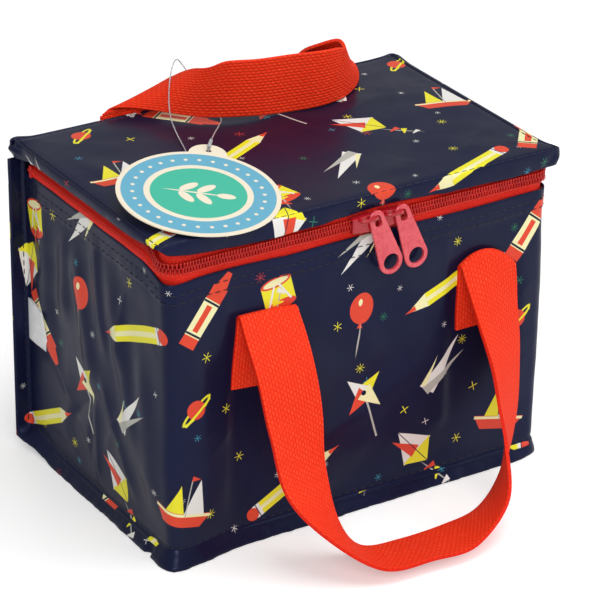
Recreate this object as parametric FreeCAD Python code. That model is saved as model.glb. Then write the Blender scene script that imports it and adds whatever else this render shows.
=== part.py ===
import FreeCAD, Part
import math
import os

# A child's zipped, insulated lunch bag. Millimetres, +Z up, +X along the front to the right,
# -Y towards the front. The origin is the middle of the base, on the surface the bag stands on.

V = FreeCAD.Vector

# Bag
body_width = 205.0          # side to side over the outer sheets
body_depth = 134.0          # front to back over the outer sheets
bag_height = 160.0          # ground to the top of the lid
hem_drop = 7.0              # from the zip's middle line down to the hem of the walls
corner_radius = 8.0         # the two front uprights, where one sheet wraps round
sheet = 0.6                 # laminated outer sheet
foam = 3.0                  # side, front and back foam boards
foil = 0.4                  # foil lining
running_gap = 0.25          # between pieces that slide past each other
seat_gap = 0.1              # between pieces that lie on each other

# Base and seams
seam_height = 6.5           # stitch line of the base seam above the ground
seam_out = 4.5              # how far the base fins lean out
base_margin = 14.0          # width of the band where the base rises to its seam
base_foam_top = 6.4
back_fin_width = 8.0
foam_lift = 1.3             # side boards start this far above the base seam
board_drop = 13.0           # from the hem down to the top of the boards in the walls
collar_drop = 2.0           # from the hem down to the top of the lining

# Lid
lid_over_x = 5.0            # how far the lid stands out past each side
lid_over_y = 2.0            # and past the front and back
lid_rim = 7.4               # height of the turned-down rim
lid_radius = 5.0
lid_edge_radius = 1.2

# Zip
rim_gap = 1.3               # from the lid's rim down to the top of a slider
tape = 0.7                  # thickness of the zip tape
tape_hem = 12.0             # how far the lower tape runs down behind the hem
tape_slit = 0.6             # gap between the edges of the two tapes
coil_depth = 2.4
coil_half = 3.1             # from the zip plane to the outer edge of a coil
coil_core = 1.8
coil_seat = 0.05            # clearance between the coil and the tape round a corner
tooth_reach = 1.0           # how far a tooth passes the zip plane
tooth_pitch = 3.6
tooth_width = 1.5
zip_end = 11.0              # from the back seam to the last tooth
stop_length = 2.0
stop_edge = 0.4             # chamfer round a stop

# Sliders and pulls
slider_length = 12.4
slider_plate = 1.6
slider_lip = 0.95           # how far a slider stands past the coils it runs on
lip_gap = 0.35              # between a slider's lips and the tape
inner_plate = 1.4           # thickness of the plate behind the tapes
slider_edge = 0.4           # chamfer round a slider's face
slider_nose = 0.86          # half heights of the slider's outline at its nose
slider_tail = 0.78          # and at its tail, as shares of the half height at its shoulder
slider_shoulder = 0.45      # the shoulder's place towards the nose, as a share of half a slider
slider_x = {"left": -1.8, "right": 11.9}
bail_radius = 0.9
bail_drop = 0.3              # from the top edge of the slider's plate to the bail
bail_root = 0.8              # how deep its feet go into the plate
bail_feet = (-3.0, 5.2)      # from the middle of the slider, the pull hangs on the second
pull_thickness = 1.4
pull_gap = 0.3
pull_lean = 19.5            # degrees, how far each pull hangs to the right
pull_length = 25.6          # from the bail to the middle of the hole
pull_top_radius = 3.9
pull_end_radius = 6.2
pull_hole_radius = 4.1
pull_slot_radius = 1.9
pull_slot_length = 6.4
pull_edge = 0.3             # chamfer round a pull

# Webbing handles
web_width = 30.0
web = 1.6                   # thickness
web_rounding = 0.45         # radius of a selvedge, as a share of the thickness
end_bottom = 79.0           # lower end of each sewn strip
end_top = 115.0             # upper end of the front strips, where the loop folds over
front_handle_x = {"left": -52.0, "right": 67.0}
back_handle_x = {"left": -49.0, "right": 64.0}
back_handle_lean = 4.5      # how far the back strips lean inwards on their way up to the lid
fold_gap = 0.35             # between the front loop and its strips, where it folds over them
riser_top = 0.2             # how far the back strips stand above the lid
riser_gap = 0.3             # from the lid's rim up to the part of a back strip that the lid carries
back_loop_rise = 0.7        # from the top of those strips to the middle of the loop's first row
hinge_slit = 0.8            # above and below the lid hinge line

# Loops: each row is a point on the middle of the webbing, from the height and the front or back
# face where the loop starts, and the way across it, which slants where the webbing folds over.
front_loop = [
    ((-52, 0, 0), (1.0, 0.0, 0.0)),
    ((-51, -14.25, -24), (1.0, 0.0, 0.0)),
    ((-49, -20.25, -49), (0.99, 0.14, 0.0)),
    ((-48, -27.25, -74), (0.92, 0.38, 0.0)),
    ((-41, -39.25, -95), (0.65, 0.7, -0.25)),
    ((-26, -49.25, -109), (0.2, 0.96, -0.15)),
    ((-2, -51.25, -111), (0.0, 0.98, -0.17)),
    ((21, -51.25, -110.5), (0.0, 0.98, -0.18)),
    ((43, -46.25, -103), (0.05, 0.82, -0.55)),
    ((58, -33.25, -89), (0.36, 0.57, -0.73)),
    ((68, -20.25, -71), (0.71, 0.52, -0.47)),
    ((71, -12.25, -48), (0.86, 0.47, -0.17)),
    ((69, -6.25, -24), (0.95, 0.3, 0.0)),
    ((67, 0, 0), (1.0, 0.0, 0.0)),
]
back_loop = [
    ((-43.5, 0, 0), (1.0, 0.0, 0.0)),
    ((-40.5, -0.7, 5.6), (0.9, -0.02, 0.23)),
    ((-34.8, -6.6, 9.4), (0.79, -0.15, 0.44)),
    ((-29.5, -15.1, 12.3), (0.63, -0.25, 0.65)),
    ((-23.1, -26.9, 14.5), (0.31, -0.2, 0.8)),
    ((-13.9, -35.1, 16.5), (0.1, -0.24, 0.91)),
    ((3, -40.1, 15.8), (0.03, -0.25, 0.93)),
    ((20.2, -41.1, 14.7), (0.02, -0.28, 0.93)),
    ((36.8, -43.3, 14.6), (-0.02, -0.27, 0.94)),
    ((48, -41.1, 14.2), (-0.2, -0.25, 0.91)),
    ((57, -35.4, 13.3), (-0.4, -0.3, 0.85)),
    ((62.2, -25.9, 13.5), (-0.58, -0.27, 0.84)),
    ((62.2, -16.1, 11.6), (-0.88, -0.25, 0.63)),
    ((61, -6.4, 8), (-1.0, -0.17, 0.37)),
    ((59.5, 0, 0), (-1.0, 0.0, 0.0)),
]
sections_per_span = 1

# Swing tag, its thread and the side label
tag_radius = 37.0
tag_card = 0.6
tag_hole = (-45.3, 62.7, 8.3)           # the card's hole, behind the front edge and above the lid
tag_heading = 233.1                     # degrees, from the hole to the middle of the card
tag_dip = 5.0                           # degrees, how far that line slopes down
tag_roll = 5.6                          # degrees, how far the card leans to its right
tag_reach = 39.2                        # from the hole to the middle of the card
tag_hole_radius = 1.4
tag_ear_radius = 8.9
tag_ear_inset = 3.2                     # from the hole back to the middle of the ear
thread_radius = 0.3
thread_sides = 8
thread_route = [                        # heights above the lid
    (-45, -6, 9.7), (-38.5, 2.1, 10.5), (-26, 18, 6.8), (-14, 34, 2.2),
    (-10.5, 44, 1.6), (-11, 54, 5), (-14.5, 60.5, 13), (-18.5, 64, 21),
    (-22.5, 62.5, 25.5), (-28.5, 56.5, 23.5), (-33, 51.5, 15), (-35.5, 46.5, 5),
    (-40, 33, 2.2), (-46, 14, 2.2), (-51, 2, 3), (-50.5, -6, 4),
    (-45.8, -7, 5.2), (-45.4, -6.5, 9),
]
barb_radius = 0.9
barb_length = 7.0
barb_start = 0.3            # from the end of the thread to the barb
barb_gap = 0.15             # between the barb's bore and the thread
bend_share = 0.45           # how much of a straight run the bend at its end may take
label_width = 18.5
label_height = 21.5
label_bottom = 57.5
label_thickness = 0.6

# Values that follow from the ones above
far = 2 * max(body_width, body_depth, bag_height)           # past everything
half_x = body_width / 2
half_y = body_depth / 2
lid_x = half_x + lid_over_x
lid_y = half_y + lid_over_y
rim_bottom = bag_height - lid_rim
lid_under = bag_height - sheet
slider_reach = coil_half + running_gap + slider_lip
zip_plane = rim_bottom - rim_gap - slider_reach             # where the two coils mesh
panel_top = zip_plane - hem_drop
fin_top = rim_bottom - rim_gap                              # the back fins rise to the lid
board_top = panel_top - board_drop
hem_top = panel_top - collar_drop
seam_rise = sheet * math.hypot(seam_out, seam_height) / seam_out
wall_bottom = seam_height + seam_rise
zip_back = half_y - zip_end
plate_back = half_y - sheet + coil_depth + running_gap      # distances in front of the middle
plate_front = plate_back + slider_plate
pull_back = plate_front + pull_gap
bail_front = pull_back + pull_thickness + pull_gap + bail_radius
bail_height = zip_plane + slider_reach - bail_radius - bail_drop
fold_y = half_y + web + fold_gap + web / 2                  # middle of the front loop at its fold


def block(reach_x, reach_y, low, high, front_radius=0.0, back_radius=0.0):
    # An upright block about the Z axis, with its front and back uprights rounded.
    tall = high - low
    solid = Part.makeBox(2 * reach_x, 2 * reach_y, tall, V(-reach_x, -reach_y, low))
    for radius, side in ((front_radius, -1), (back_radius, 1)):
        if radius > 0:
            uprights = [
                edge for edge in solid.Edges
                if edge.BoundBox.ZLength > 0.99 * tall and edge.CenterOfMass.y * side > 0.9 * reach_y
            ]
            solid = solid.makeFillet(radius, uprights)
    return solid


def body_block(inset, low, high):
    # The bag's plan, this far inside its outer sheets. The back corners are square.
    radius = max(corner_radius - inset, 1.0)
    return block(half_x - inset, half_y - inset, low, high, radius)


def plan_wire(grow, z):
    # The outline of the bag's plan, grown outwards, at one height.
    front = max(corner_radius + grow, 1.0)
    solid = block(half_x + grow, half_y + grow, z, z + 1.0, front, max(grow, 0.0))
    return [face.OuterWire for face in solid.Faces if face.BoundBox.ZMax < z + 0.01][0]


def tapered(low_grow, low, high_grow, high):
    return Part.makeLoft([plan_wire(low_grow, low), plan_wire(high_grow, high)], True, True)


def in_front_of(y, shape):
    return shape.common(Part.makeBox(2 * far, 2 * far, 2 * far, V(-far, y - 2 * far, -far)))


def behind(y, shape):
    return shape.common(Part.makeBox(2 * far, 2 * far, 2 * far, V(-far, y, -far)))


def joined(shapes):
    return shapes[0].multiFuse(shapes[1:]).removeSplitter()


def fin_leaf(layer):
    # One leaf of the seam allowance that runs round the base and leans out and down.
    def under(layers):
        lift = layers * seam_rise
        front = corner_radius + seam_out
        skirt = block(half_x + seam_out, half_y + seam_out, lift - seam_out, lift, front, seam_out)
        return skirt.fuse(tapered(seam_out, lift, 0.0, lift + seam_height))
    leaf = under(layer + 1).cut(under(layer))
    below = Part.makeBox(2 * far, 2 * far, far, V(-far, -far, -far))
    return leaf.cut(body_block(0.0, -seam_out, 2 * bag_height)).cut(below)


def wrap_panel():
    # One sheet: left side, front and right side, with its share of the seam allowances.
    wall = body_block(0.0, wall_bottom, panel_top).cut(body_block(sheet, 0.0, panel_top + 1))
    wall = in_front_of(half_y - sheet, wall)
    leaf = in_front_of(half_y - sheet, fin_leaf(1))
    pieces = [wall, leaf]
    tall = fin_top - wall_bottom
    for side in (-1, 1):
        start = half_x if side > 0 else -half_x - back_fin_width
        corner = V(start, half_y - 2 * sheet, wall_bottom)
        pieces.append(Part.makeBox(back_fin_width, sheet, tall, corner))
    return joined(pieces)


def back_panel():
    # The sheet behind, sewn to the wrap at two upright fins, and up to the lid's hinge line.
    inner_y = half_y - sheet
    tall = fin_top - wall_bottom
    wall = Part.makeBox(body_width, sheet, panel_top - wall_bottom, V(-half_x, inner_y, wall_bottom))
    left_corner = V(-half_x - back_fin_width, inner_y, wall_bottom)
    left_fin = Part.makeBox(back_fin_width, sheet, tall, left_corner)
    right_fin = Part.makeBox(back_fin_width, sheet, tall, V(half_x, inner_y, wall_bottom))
    neck_height = zip_plane - hinge_slit - panel_top
    neck_corner = V(-half_x + sheet, inner_y, panel_top)
    neck = Part.makeBox(body_width - 2 * sheet, sheet, neck_height, neck_corner)
    leaf = behind(half_y - sheet, fin_leaf(1))
    return joined([wall, left_fin, right_fin, neck, leaf])


def base_panel():
    # A flat base that rises to the seam, with the lower leaf of the seam allowance.
    dish = tapered(-base_margin, 0.0, 0.0, seam_height)
    rise = sheet * math.hypot(base_margin, seam_height) / base_margin
    edge = body_block(0.0, seam_height, seam_height + rise)
    hollow = dish.translated(V(0, 0, rise))
    return joined([dish.fuse(edge).cut(hollow), fin_leaf(0)])


def foam_board(side):
    # Closed-cell boards between the outer sheet and the lining, cut short of the rounded corners.
    low = seam_height + foam_lift
    height = board_top - low
    outer_x = half_x - sheet
    outer_y = half_y - sheet
    front_end = -half_y + corner_radius
    if side == "front":
        reach = half_x - corner_radius
        return Part.makeBox(2 * reach, foam, height, V(-reach, -outer_y, low))
    if side == "back":
        reach = outer_x - foam
        return Part.makeBox(2 * reach, foam, height, V(-reach, outer_y - foam, low))
    start = -outer_x if side == "left" else outer_x - foam
    return Part.makeBox(foam, outer_y - front_end, height, V(start, front_end, low))


def foam_base():
    rise = sheet * math.hypot(base_margin, seam_height) / base_margin
    filling = tapered(-base_margin, 0.0, 0.0, seam_height).translated(V(0, 0, rise + seat_gap))
    return filling.common(body_block(sheet + foam + foil, 0.0, base_foam_top))


def foil_lining():
    # A foil box with a ledge over the boards and a collar behind the hem.
    outer = sheet + foam
    collar = sheet + tape
    walls = body_block(outer, base_foam_top, board_top)
    ledge = body_block(collar, board_top, hem_top)
    pocket = body_block(outer + foil, base_foam_top + foil, board_top + 2 * foil)
    mouth = body_block(collar + foil, board_top + foil, hem_top + 1)
    return joined([walls, ledge]).cut(pocket).cut(mouth)


def zip_tape(low, high):
    ring = body_block(sheet, low, high).cut(body_block(sheet + tape, low - 1, high + 1))
    return in_front_of(zip_back + 2 * stop_length, ring)


def tooth_rack(length, upwards):
    # A straight run of coil along +X from the origin: a bar with teeth on its meshing side.
    way = 1 if upwards else -1
    outer = zip_plane - way * coil_half
    inner = outer + way * coil_core
    tip = zip_plane + way * tooth_reach
    phase = 0.25 * tooth_pitch if upwards else 0.75 * tooth_pitch
    count = int((length - phase - tooth_width / 2) / tooth_pitch) + 1
    points = [V(0, 0, inner), V(0, 0, outer), V(length, 0, outer), V(length, 0, inner)]
    for number in reversed(range(count)):
        middle = phase + number * tooth_pitch
        for along, height in ((0.5, inner), (0.5, tip), (-0.5, tip), (-0.5, inner)):
            points.append(V(middle + along * tooth_width, 0, height))
    points.append(points[0])
    return Part.Face(Part.makePolygon(points)).extrude(V(0, coil_depth, 0))


def coil_corner(side, upwards):
    # The coil's quarter turn round a front corner, with its teeth fanned out.
    way = 1 if upwards else -1
    outer = zip_plane - way * coil_half
    inner = outer + way * coil_core
    tip = zip_plane + way * tooth_reach
    radius = corner_radius - sheet + coil_seat
    centre = V(side * (half_x - corner_radius), -half_y + corner_radius, 0)
    middle_radius = radius + coil_depth / 2
    step = math.degrees(tooth_pitch / middle_radius)
    width = math.degrees(tooth_width / middle_radius)
    count = int(90.0 / step)
    spare = 90.0 - count * step

    def slice_of(low, high, start, turn):
        low, high = min(low, high), max(low, high)
        corners = [V(radius, 0, low), V(radius + coil_depth, 0, low)]
        corners += [V(radius + coil_depth, 0, high), V(radius, 0, high), V(radius, 0, low)]
        face = Part.Face(Part.makePolygon(corners))
        face.rotate(V(0, 0, 0), V(0, 0, 1), start)
        return face.revolve(V(0, 0, 0), V(0, 0, 1), turn).translated(centre)

    first = -90.0 if side > 0 else -180.0
    pieces = [slice_of(outer, inner, first, 90.0)]
    offset = 0.25 if upwards else 0.75
    for number in range(count):
        start = first + spare / 2 + (number + offset) * step - width / 2
        pieces.append(slice_of(inner, tip, start, width))
    return pieces


def zip_coil(upwards):
    # One coil from the back left, round the front, to the back right.
    front_length = 2 * (half_x - corner_radius)
    side_length = zip_back + half_y - corner_radius
    face_y = -(half_y - sheet) - coil_depth
    front = tooth_rack(front_length, upwards).translated(V(-front_length / 2, face_y, 0))
    right = tooth_rack(side_length, upwards)
    right.rotate(V(0, 0, 0), V(0, 0, 1), 90)
    right.translate(V(half_x - sheet + coil_depth, -half_y + corner_radius, 0))
    left = right.mirror(V(0, 0, 0), V(1, 0, 0))
    pieces = [front, right, left] + coil_corner(1, upwards) + coil_corner(-1, upwards)
    return joined(pieces)


def zip_stops(upwards):
    # A moulded stop at each end of one coil.
    low = zip_plane + tape_slit / 2 if upwards else zip_plane - coil_half
    height = coil_half - tape_slit / 2
    stops = []
    for side in (-1, 1):
        start = half_x - sheet if side > 0 else -(half_x - sheet) - coil_depth
        stop = Part.makeBox(coil_depth, stop_length, height, V(start, zip_back, low))
        stops.append(stop.makeChamfer(stop_edge, stop.Edges))
    return Part.makeCompound(stops)


def rim_tray(low, high, inset):
    radius = lid_radius - inset
    return block(lid_x - inset, lid_y - inset, low, high, radius, radius)


def lid_panel():
    # The lid's sheet: a flat top with its rim turned down all round.
    outside = rim_tray(rim_bottom, bag_height, 0.0)
    top_edges = [edge for edge in outside.Edges if edge.BoundBox.ZMin > bag_height - 0.01]
    outside = outside.makeFillet(lid_edge_radius, top_edges)
    return outside.cut(rim_tray(rim_bottom - 1, lid_under, sheet))


def lid_layer(low, high):
    return body_block(sheet + tape + seat_gap, low, high)


def hinge_strip():
    # The back panel's fold up into the lid.
    low = zip_plane + hinge_slit
    corner = V(-half_x + sheet, half_y - sheet, low)
    return Part.makeBox(body_width - 2 * sheet, sheet, lid_under - low, corner)


def webbing_strip(centre_x, face_y, low, high, outwards):
    start = face_y if outwards > 0 else face_y - web
    strip = Part.makeBox(web_width, web, high - low, V(centre_x - web_width / 2, start, low))
    selvedges = [edge for edge in strip.Edges if edge.BoundBox.ZLength > 0.99 * (high - low)]
    return strip.makeFillet(web_rounding * web, selvedges)


def smooth_line(vectors, knots, place):
    # The value and slope, at one place, of a smooth curve through the vectors at their knots.
    last = len(knots) - 2
    span = min(sum(1 for knot in knots[1:-1] if knot <= place), last)
    width = knots[span + 1] - knots[span]
    slopes = []
    for number in (span, span + 1):
        low, high = max(number - 1, 0), min(number + 1, last + 1)
        slopes.append((vectors[high] - vectors[low]) * (width / (knots[high] - knots[low])))
    start, end = vectors[span], vectors[span + 1]
    t = (place - knots[span]) / width
    value = start * (2 * t ** 3 - 3 * t ** 2 + 1) + end * (3 * t ** 2 - 2 * t ** 3)
    value += slopes[0] * (t ** 3 - 2 * t ** 2 + t) + slopes[1] * (t ** 3 - t ** 2)
    slope = (end - start) * (6 * t - 6 * t ** 2)
    slope += slopes[0] * (3 * t ** 2 - 4 * t + 1) + slopes[1] * (3 * t ** 2 - 2 * t)
    return value, slope


def webbing_loop(start_y, start_z, rows):
    # A ribbon through the rows, from selvedge to selvedge at each of them.
    points = [V(*row[0]) + V(0, start_y, start_z) for row in rows]
    acrosses = [V(*row[1]) for row in rows]
    knots = [0.0]
    for before, after in zip(points, points[1:]):
        knots.append(knots[-1] + before.distanceToPoint(after))
    count = sections_per_span * (len(rows) - 1)
    sections = []
    for number in range(count + 1):
        span, step = divmod(number, sections_per_span)
        span = min(span, len(rows) - 2)
        step = number - span * sections_per_span
        place = knots[span] + (knots[span + 1] - knots[span]) * step / sections_per_span
        point, way = smooth_line(points, knots, place)
        side, _ = smooth_line(acrosses, knots, place)
        way.normalize()
        out = way.cross(side).normalize()
        corners = [
            point + side * (a * web_width / 2) + out * (b * web / 2)
            for a, b in ((1, 1), (-1, 1), (-1, -1), (1, -1), (1, 1))
        ]
        sections.append(Part.makePolygon(corners))
    print("webbing loop %.1f mm round" % knots[-1])
    return Part.makeLoft(sections, True, True)


def rounded_path(points, label):
    # Straight runs joined by tangent arcs as large as the runs allow.
    edges = []
    start = V(*points[0])
    for before, at, after in zip(points, points[1:], points[2:]):
        before, at, after = V(*before), V(*at), V(*after)
        back = (before - at).normalize()
        on = (after - at).normalize()
        turn = math.pi - back.getAngle(on)
        set_back = bend_share * min(before.distanceToPoint(at), at.distanceToPoint(after))
        radius = set_back / math.tan(turn / 2)
        print("%s bend radius %.1f mm" % (label, radius))
        enter = at + back * set_back
        leave = at + on * set_back
        inward = (back + on).normalize()
        middle = at + inward * (radius / math.cos(turn / 2) - radius)
        edges.append(Part.LineSegment(start, enter).toShape())
        edges.append(Part.Arc(enter, middle, leave).toShape())
        start = leave
    edges.append(Part.LineSegment(start, V(*points[-1])).toShape())
    return Part.Wire(edges)


def slider_body():
    # The two plates of a slider, its tail towards +X: lips over both coils, and a plate behind.
    half = slider_length / 2
    shoulder = -slider_shoulder * half
    nose = slider_nose * slider_reach
    tail = slider_tail * slider_reach
    outline = [
        V(-half, 0, -nose), V(shoulder, 0, -slider_reach), V(half, 0, -tail),
        V(half, 0, tail), V(shoulder, 0, slider_reach), V(-half, 0, nose),
    ]
    outline.append(outline[0])
    face = Part.Face(Part.makePolygon(outline))
    plate = face.extrude(V(0, slider_plate, 0)).translated(V(0, -plate_front, zip_plane))
    front_edges = [edge for edge in plate.Edges if edge.BoundBox.YMax < -plate_front + 0.01]
    plate = plate.makeChamfer(slider_edge, front_edges)
    lip_depth = coil_depth + running_gap - lip_gap
    lips = face.extrude(V(0, lip_depth, 0)).translated(V(0, -plate_back, zip_plane))
    channel = 2 * (coil_half + running_gap)
    channel_corner = V(-slider_length, -plate_back, zip_plane - channel / 2)
    lips = lips.cut(Part.makeBox(2 * slider_length, 2 * lip_depth, channel, channel_corner))
    inner_face = half_y - sheet - tape - running_gap
    inner = face.extrude(V(0, inner_plate, 0)).translated(V(0, -inner_face, zip_plane))
    return joined([plate, lips]), inner


def slider(name):
    # A zip slider with its bail, a wire bridge that carries the pull.
    x = slider_x[name]
    outer, inner = slider_body()
    if name == "left":
        outer = outer.mirror(V(0, 0, 0), V(1, 0, 0))
        inner = inner.mirror(V(0, 0, 0), V(1, 0, 0))
    outer.translate(V(x, 0, 0))
    inner.translate(V(x, 0, 0))
    feet = [x + foot for foot in bail_feet]
    route = [(foot, -y, bail_height) for foot, y in (
        (feet[0], plate_front - bail_root), (feet[0], bail_front),
        (feet[1], bail_front), (feet[1], plate_front - bail_root))]
    ring = Part.Wire(Part.makeCircle(bail_radius, V(*route[0]), V(0, 1, 0)))
    bail = rounded_path(route, "bail").makePipeShell([ring], True, True)
    return Part.makeCompound([joined([outer, bail]), inner])


def pull_tab(name):
    # A pull plate that hangs on the right foot of its slider's bail.
    top = bail_radius + seat_gap - pull_slot_radius
    drop = pull_length + top
    lean = (pull_end_radius - pull_top_radius) / drop
    rise = math.sqrt(1 - lean * lean)
    points = []
    for centre, radius in ((top, pull_top_radius), (-pull_length, pull_end_radius)):
        points.append((radius * rise, centre + radius * lean))
        points.append((-radius * rise, centre + radius * lean))
    (top_right, top_left, end_right, end_left) = [V(px, 0, pz) for px, pz in points]
    crown = V(0, 0, top + pull_top_radius)
    toe = V(0, 0, -pull_length - pull_end_radius)
    outline = Part.Wire([
        Part.Arc(top_right, crown, top_left).toShape(),
        Part.LineSegment(top_left, end_left).toShape(),
        Part.Arc(end_left, toe, end_right).toShape(),
        Part.LineSegment(end_right, top_right).toShape(),
    ])
    plate = Part.Face(outline).extrude(V(0, pull_thickness, 0))
    rims = [edge for edge in plate.Edges if edge.BoundBox.YLength < 0.01]
    plate = plate.makeChamfer(pull_edge, rims)
    way = V(0, 1, 0)
    before = -pull_thickness
    through = 3 * pull_thickness
    hole = Part.makeCylinder(pull_hole_radius, through, V(0, before, -pull_length), way)
    slot_top = V(0, before, top)
    slot_low = V(0, before, top - pull_slot_length + 2 * pull_slot_radius)
    slot = Part.makeCylinder(pull_slot_radius, through, slot_top, way)
    slot = slot.fuse(Part.makeCylinder(pull_slot_radius, through, slot_low, way))
    between = V(-pull_slot_radius, before, slot_low.z)
    slot = slot.fuse(Part.makeBox(2 * pull_slot_radius, through, top - slot_low.z, between))
    plate = plate.cut(hole).cut(slot)
    plate.rotate(V(0, 0, 0), V(0, 1, 0), -pull_lean)
    plate.translate(V(slider_x[name] + bail_feet[1], -pull_back - pull_thickness, bail_height))
    return plate


def swing_tag():
    # A round card with an ear that carries its hole, made lying along +X from the hole.
    disc = Part.makeCylinder(tag_radius, tag_card, V(tag_reach, 0, -tag_card / 2))
    ear = Part.makeCylinder(tag_ear_radius, tag_card, V(tag_ear_inset, 0, -tag_card / 2))
    hole = Part.makeCylinder(tag_hole_radius, 3 * tag_card, V(0, 0, -1.5 * tag_card))
    card = joined([disc, ear]).cut(hole)
    card.rotate(V(0, 0, 0), V(1, 0, 0), -tag_roll)
    card.rotate(V(0, 0, 0), V(0, 1, 0), tag_dip)
    card.rotate(V(0, 0, 0), V(0, 0, 1), tag_heading)
    return card.translated(V(*tag_hole) + V(0, -lid_y, bag_height))


def thread_points():
    return [(x, y, bag_height + z) for x, y, z in thread_route]


def tag_thread():
    points = thread_points()
    path = rounded_path(points, "thread")
    start = V(*points[0])
    way = (V(*points[1]) - start).normalize()
    side = way.cross(V(0, 0, 1)).normalize()
    rise = side.cross(way)
    turns = [math.tau * number / thread_sides for number in range(thread_sides)]
    corners = [start + (side * math.cos(t) + rise * math.sin(t)) * thread_radius for t in turns]
    ring = Part.makePolygon(corners + corners[:1])
    tube = path.makePipeShell([ring], True, True)
    area = Part.Face(ring).Area
    print("thread length %.1f mm, volume over section times length %.4f"
          % (path.Length, tube.Volume / (area * path.Length)))
    return tube


def thread_barb():
    # The small moulded lock where the thread's two ends meet, just above the card's hole.
    points = thread_points()
    start = V(*points[0])
    way = (V(*points[1]) - start).normalize()
    begin = start + way * barb_start
    tube = Part.makeCylinder(barb_radius, barb_length, begin, way)
    bore = thread_radius + barb_gap
    return tube.cut(Part.makeCylinder(bore, 3 * barb_length, begin - way * barb_length, way))


def side_label():
    # A woven label caught in the back left seam, lying along the side.
    face = -half_x - seat_gap - label_thickness
    front = half_y - 2 * sheet - label_width
    return Part.makeBox(label_thickness, label_width, label_height, V(face, front, label_bottom))


def parts():
    neck_top = zip_plane - hinge_slit
    riser_low = rim_bottom + riser_gap
    back_loop_y = lid_y + web / 2 + seat_gap
    back_loop_z = bag_height + riser_top + back_loop_rise
    lean = {"left": back_handle_lean, "right": -back_handle_lean}
    made = {
        "wrap_panel": wrap_panel(),
        "back_panel": back_panel(),
        "base_panel": base_panel(),
        "foam_base": foam_base(),
        "foil_lining": foil_lining(),
        "lower_zip_tape": zip_tape(panel_top - tape_hem, zip_plane - tape_slit / 2),
        "upper_zip_tape": zip_tape(zip_plane + tape_slit / 2, lid_under),
        "lower_zip_teeth": zip_coil(True),
        "upper_zip_teeth": zip_coil(False),
        "lower_zip_stops": zip_stops(False),
        "upper_zip_stops": zip_stops(True),
        "lid_panel": lid_panel(),
        "lid_foam": lid_layer(lid_under - foam, lid_under),
        "lid_lining": lid_layer(lid_under - foam - foil, lid_under - foam),
        "hinge_strip": hinge_strip(),
        "front_handle": webbing_loop(-fold_y, end_top, front_loop),
        "back_handle": webbing_loop(back_loop_y, back_loop_z, back_loop),
        "swing_tag": swing_tag(),
        "tag_thread": tag_thread(),
        "thread_barb": thread_barb(),
        "side_label": side_label(),
    }
    for side in ("front", "back", "left", "right"):
        made["foam_" + side] = foam_board(side)
    for side in ("left", "right"):
        made[side + "_slider"] = slider(side)
        made[side + "_pull"] = pull_tab(side)
        made["front_handle_end_" + side] = webbing_strip(
            front_handle_x[side], -half_y, end_bottom, end_top, -1)
        made["back_handle_end_" + side] = webbing_strip(
            back_handle_x[side], half_y, end_bottom, neck_top, 1)
        made["back_handle_riser_" + side] = webbing_strip(
            back_handle_x[side] + lean[side], lid_y, riser_low, bag_height + riser_top, 1)
    return made


os.makedirs("parts", exist_ok=True)
for node, shape in parts().items():
    shape.exportStep("parts/" + node + ".step")
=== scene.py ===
import math
import bmesh
import bpy
import numpy as np
from mathutils import Matrix, Vector, noise


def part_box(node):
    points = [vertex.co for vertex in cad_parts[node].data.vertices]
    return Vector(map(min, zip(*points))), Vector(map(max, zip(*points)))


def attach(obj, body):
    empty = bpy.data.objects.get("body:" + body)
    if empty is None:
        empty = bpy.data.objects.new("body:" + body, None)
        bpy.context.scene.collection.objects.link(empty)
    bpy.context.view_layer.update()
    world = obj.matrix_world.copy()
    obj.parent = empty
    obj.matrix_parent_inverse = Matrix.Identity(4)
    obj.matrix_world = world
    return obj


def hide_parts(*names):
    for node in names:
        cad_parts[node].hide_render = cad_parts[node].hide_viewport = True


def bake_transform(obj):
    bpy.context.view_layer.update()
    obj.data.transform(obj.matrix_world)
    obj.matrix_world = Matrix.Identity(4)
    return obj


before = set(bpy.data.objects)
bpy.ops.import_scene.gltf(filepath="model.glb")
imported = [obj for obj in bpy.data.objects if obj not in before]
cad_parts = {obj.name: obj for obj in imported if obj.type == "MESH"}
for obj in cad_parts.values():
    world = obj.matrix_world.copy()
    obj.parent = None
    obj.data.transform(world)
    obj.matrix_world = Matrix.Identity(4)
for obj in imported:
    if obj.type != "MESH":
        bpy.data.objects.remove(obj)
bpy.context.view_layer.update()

mm = 0.001


# colours and node helpers

def tint(code):
    # a hex colour as the shader's linear values
    parts = [int(code[i:i + 2], 16) / 255 for i in (0, 2, 4)]
    return tuple(c / 12.92 if c < 0.04045 else ((c + 0.055) / 1.055) ** 2.4 for c in parts) + (1.0,)


def addNode(tree, kind, **settings):
    node = tree.nodes.new("ShaderNode" + kind)
    for key, value in settings.items():
        setattr(node, key, value)
    return node


def feed(tree, value, socket):
    if isinstance(value, bpy.types.NodeSocket):
        tree.links.new(value, socket)
    else:
        socket.default_value = value


def calc(tree, operation, *values, clamp=False):
    node = addNode(tree, "Math", operation=operation, use_clamp=clamp)
    for value, socket in zip(values, node.inputs):
        feed(tree, value, socket)
    return node.outputs[0]


def vectorCalc(tree, operation, *values):
    node = addNode(tree, "VectorMath", operation=operation)
    for value, socket in zip(values, node.inputs):
        feed(tree, value, socket)
    return node.outputs["Value"] if operation in ("LENGTH", "DISTANCE") else node.outputs[0]


def mixColour(tree, factor, under, over):
    node = addNode(tree, "Mix", data_type="RGBA")
    for value, socket in ((factor, node.inputs[0]), (under, node.inputs[6]), (over, node.inputs[7])):
        feed(tree, value, socket)
    return node.outputs[2]


def spread(tree, value, low, high, toLow=0.0, toHigh=1.0):
    node = addNode(tree, "MapRange")
    for number, socket in zip((value, low, high, toLow, toHigh), node.inputs):
        feed(tree, number, socket)
    return node.outputs[0]


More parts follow.
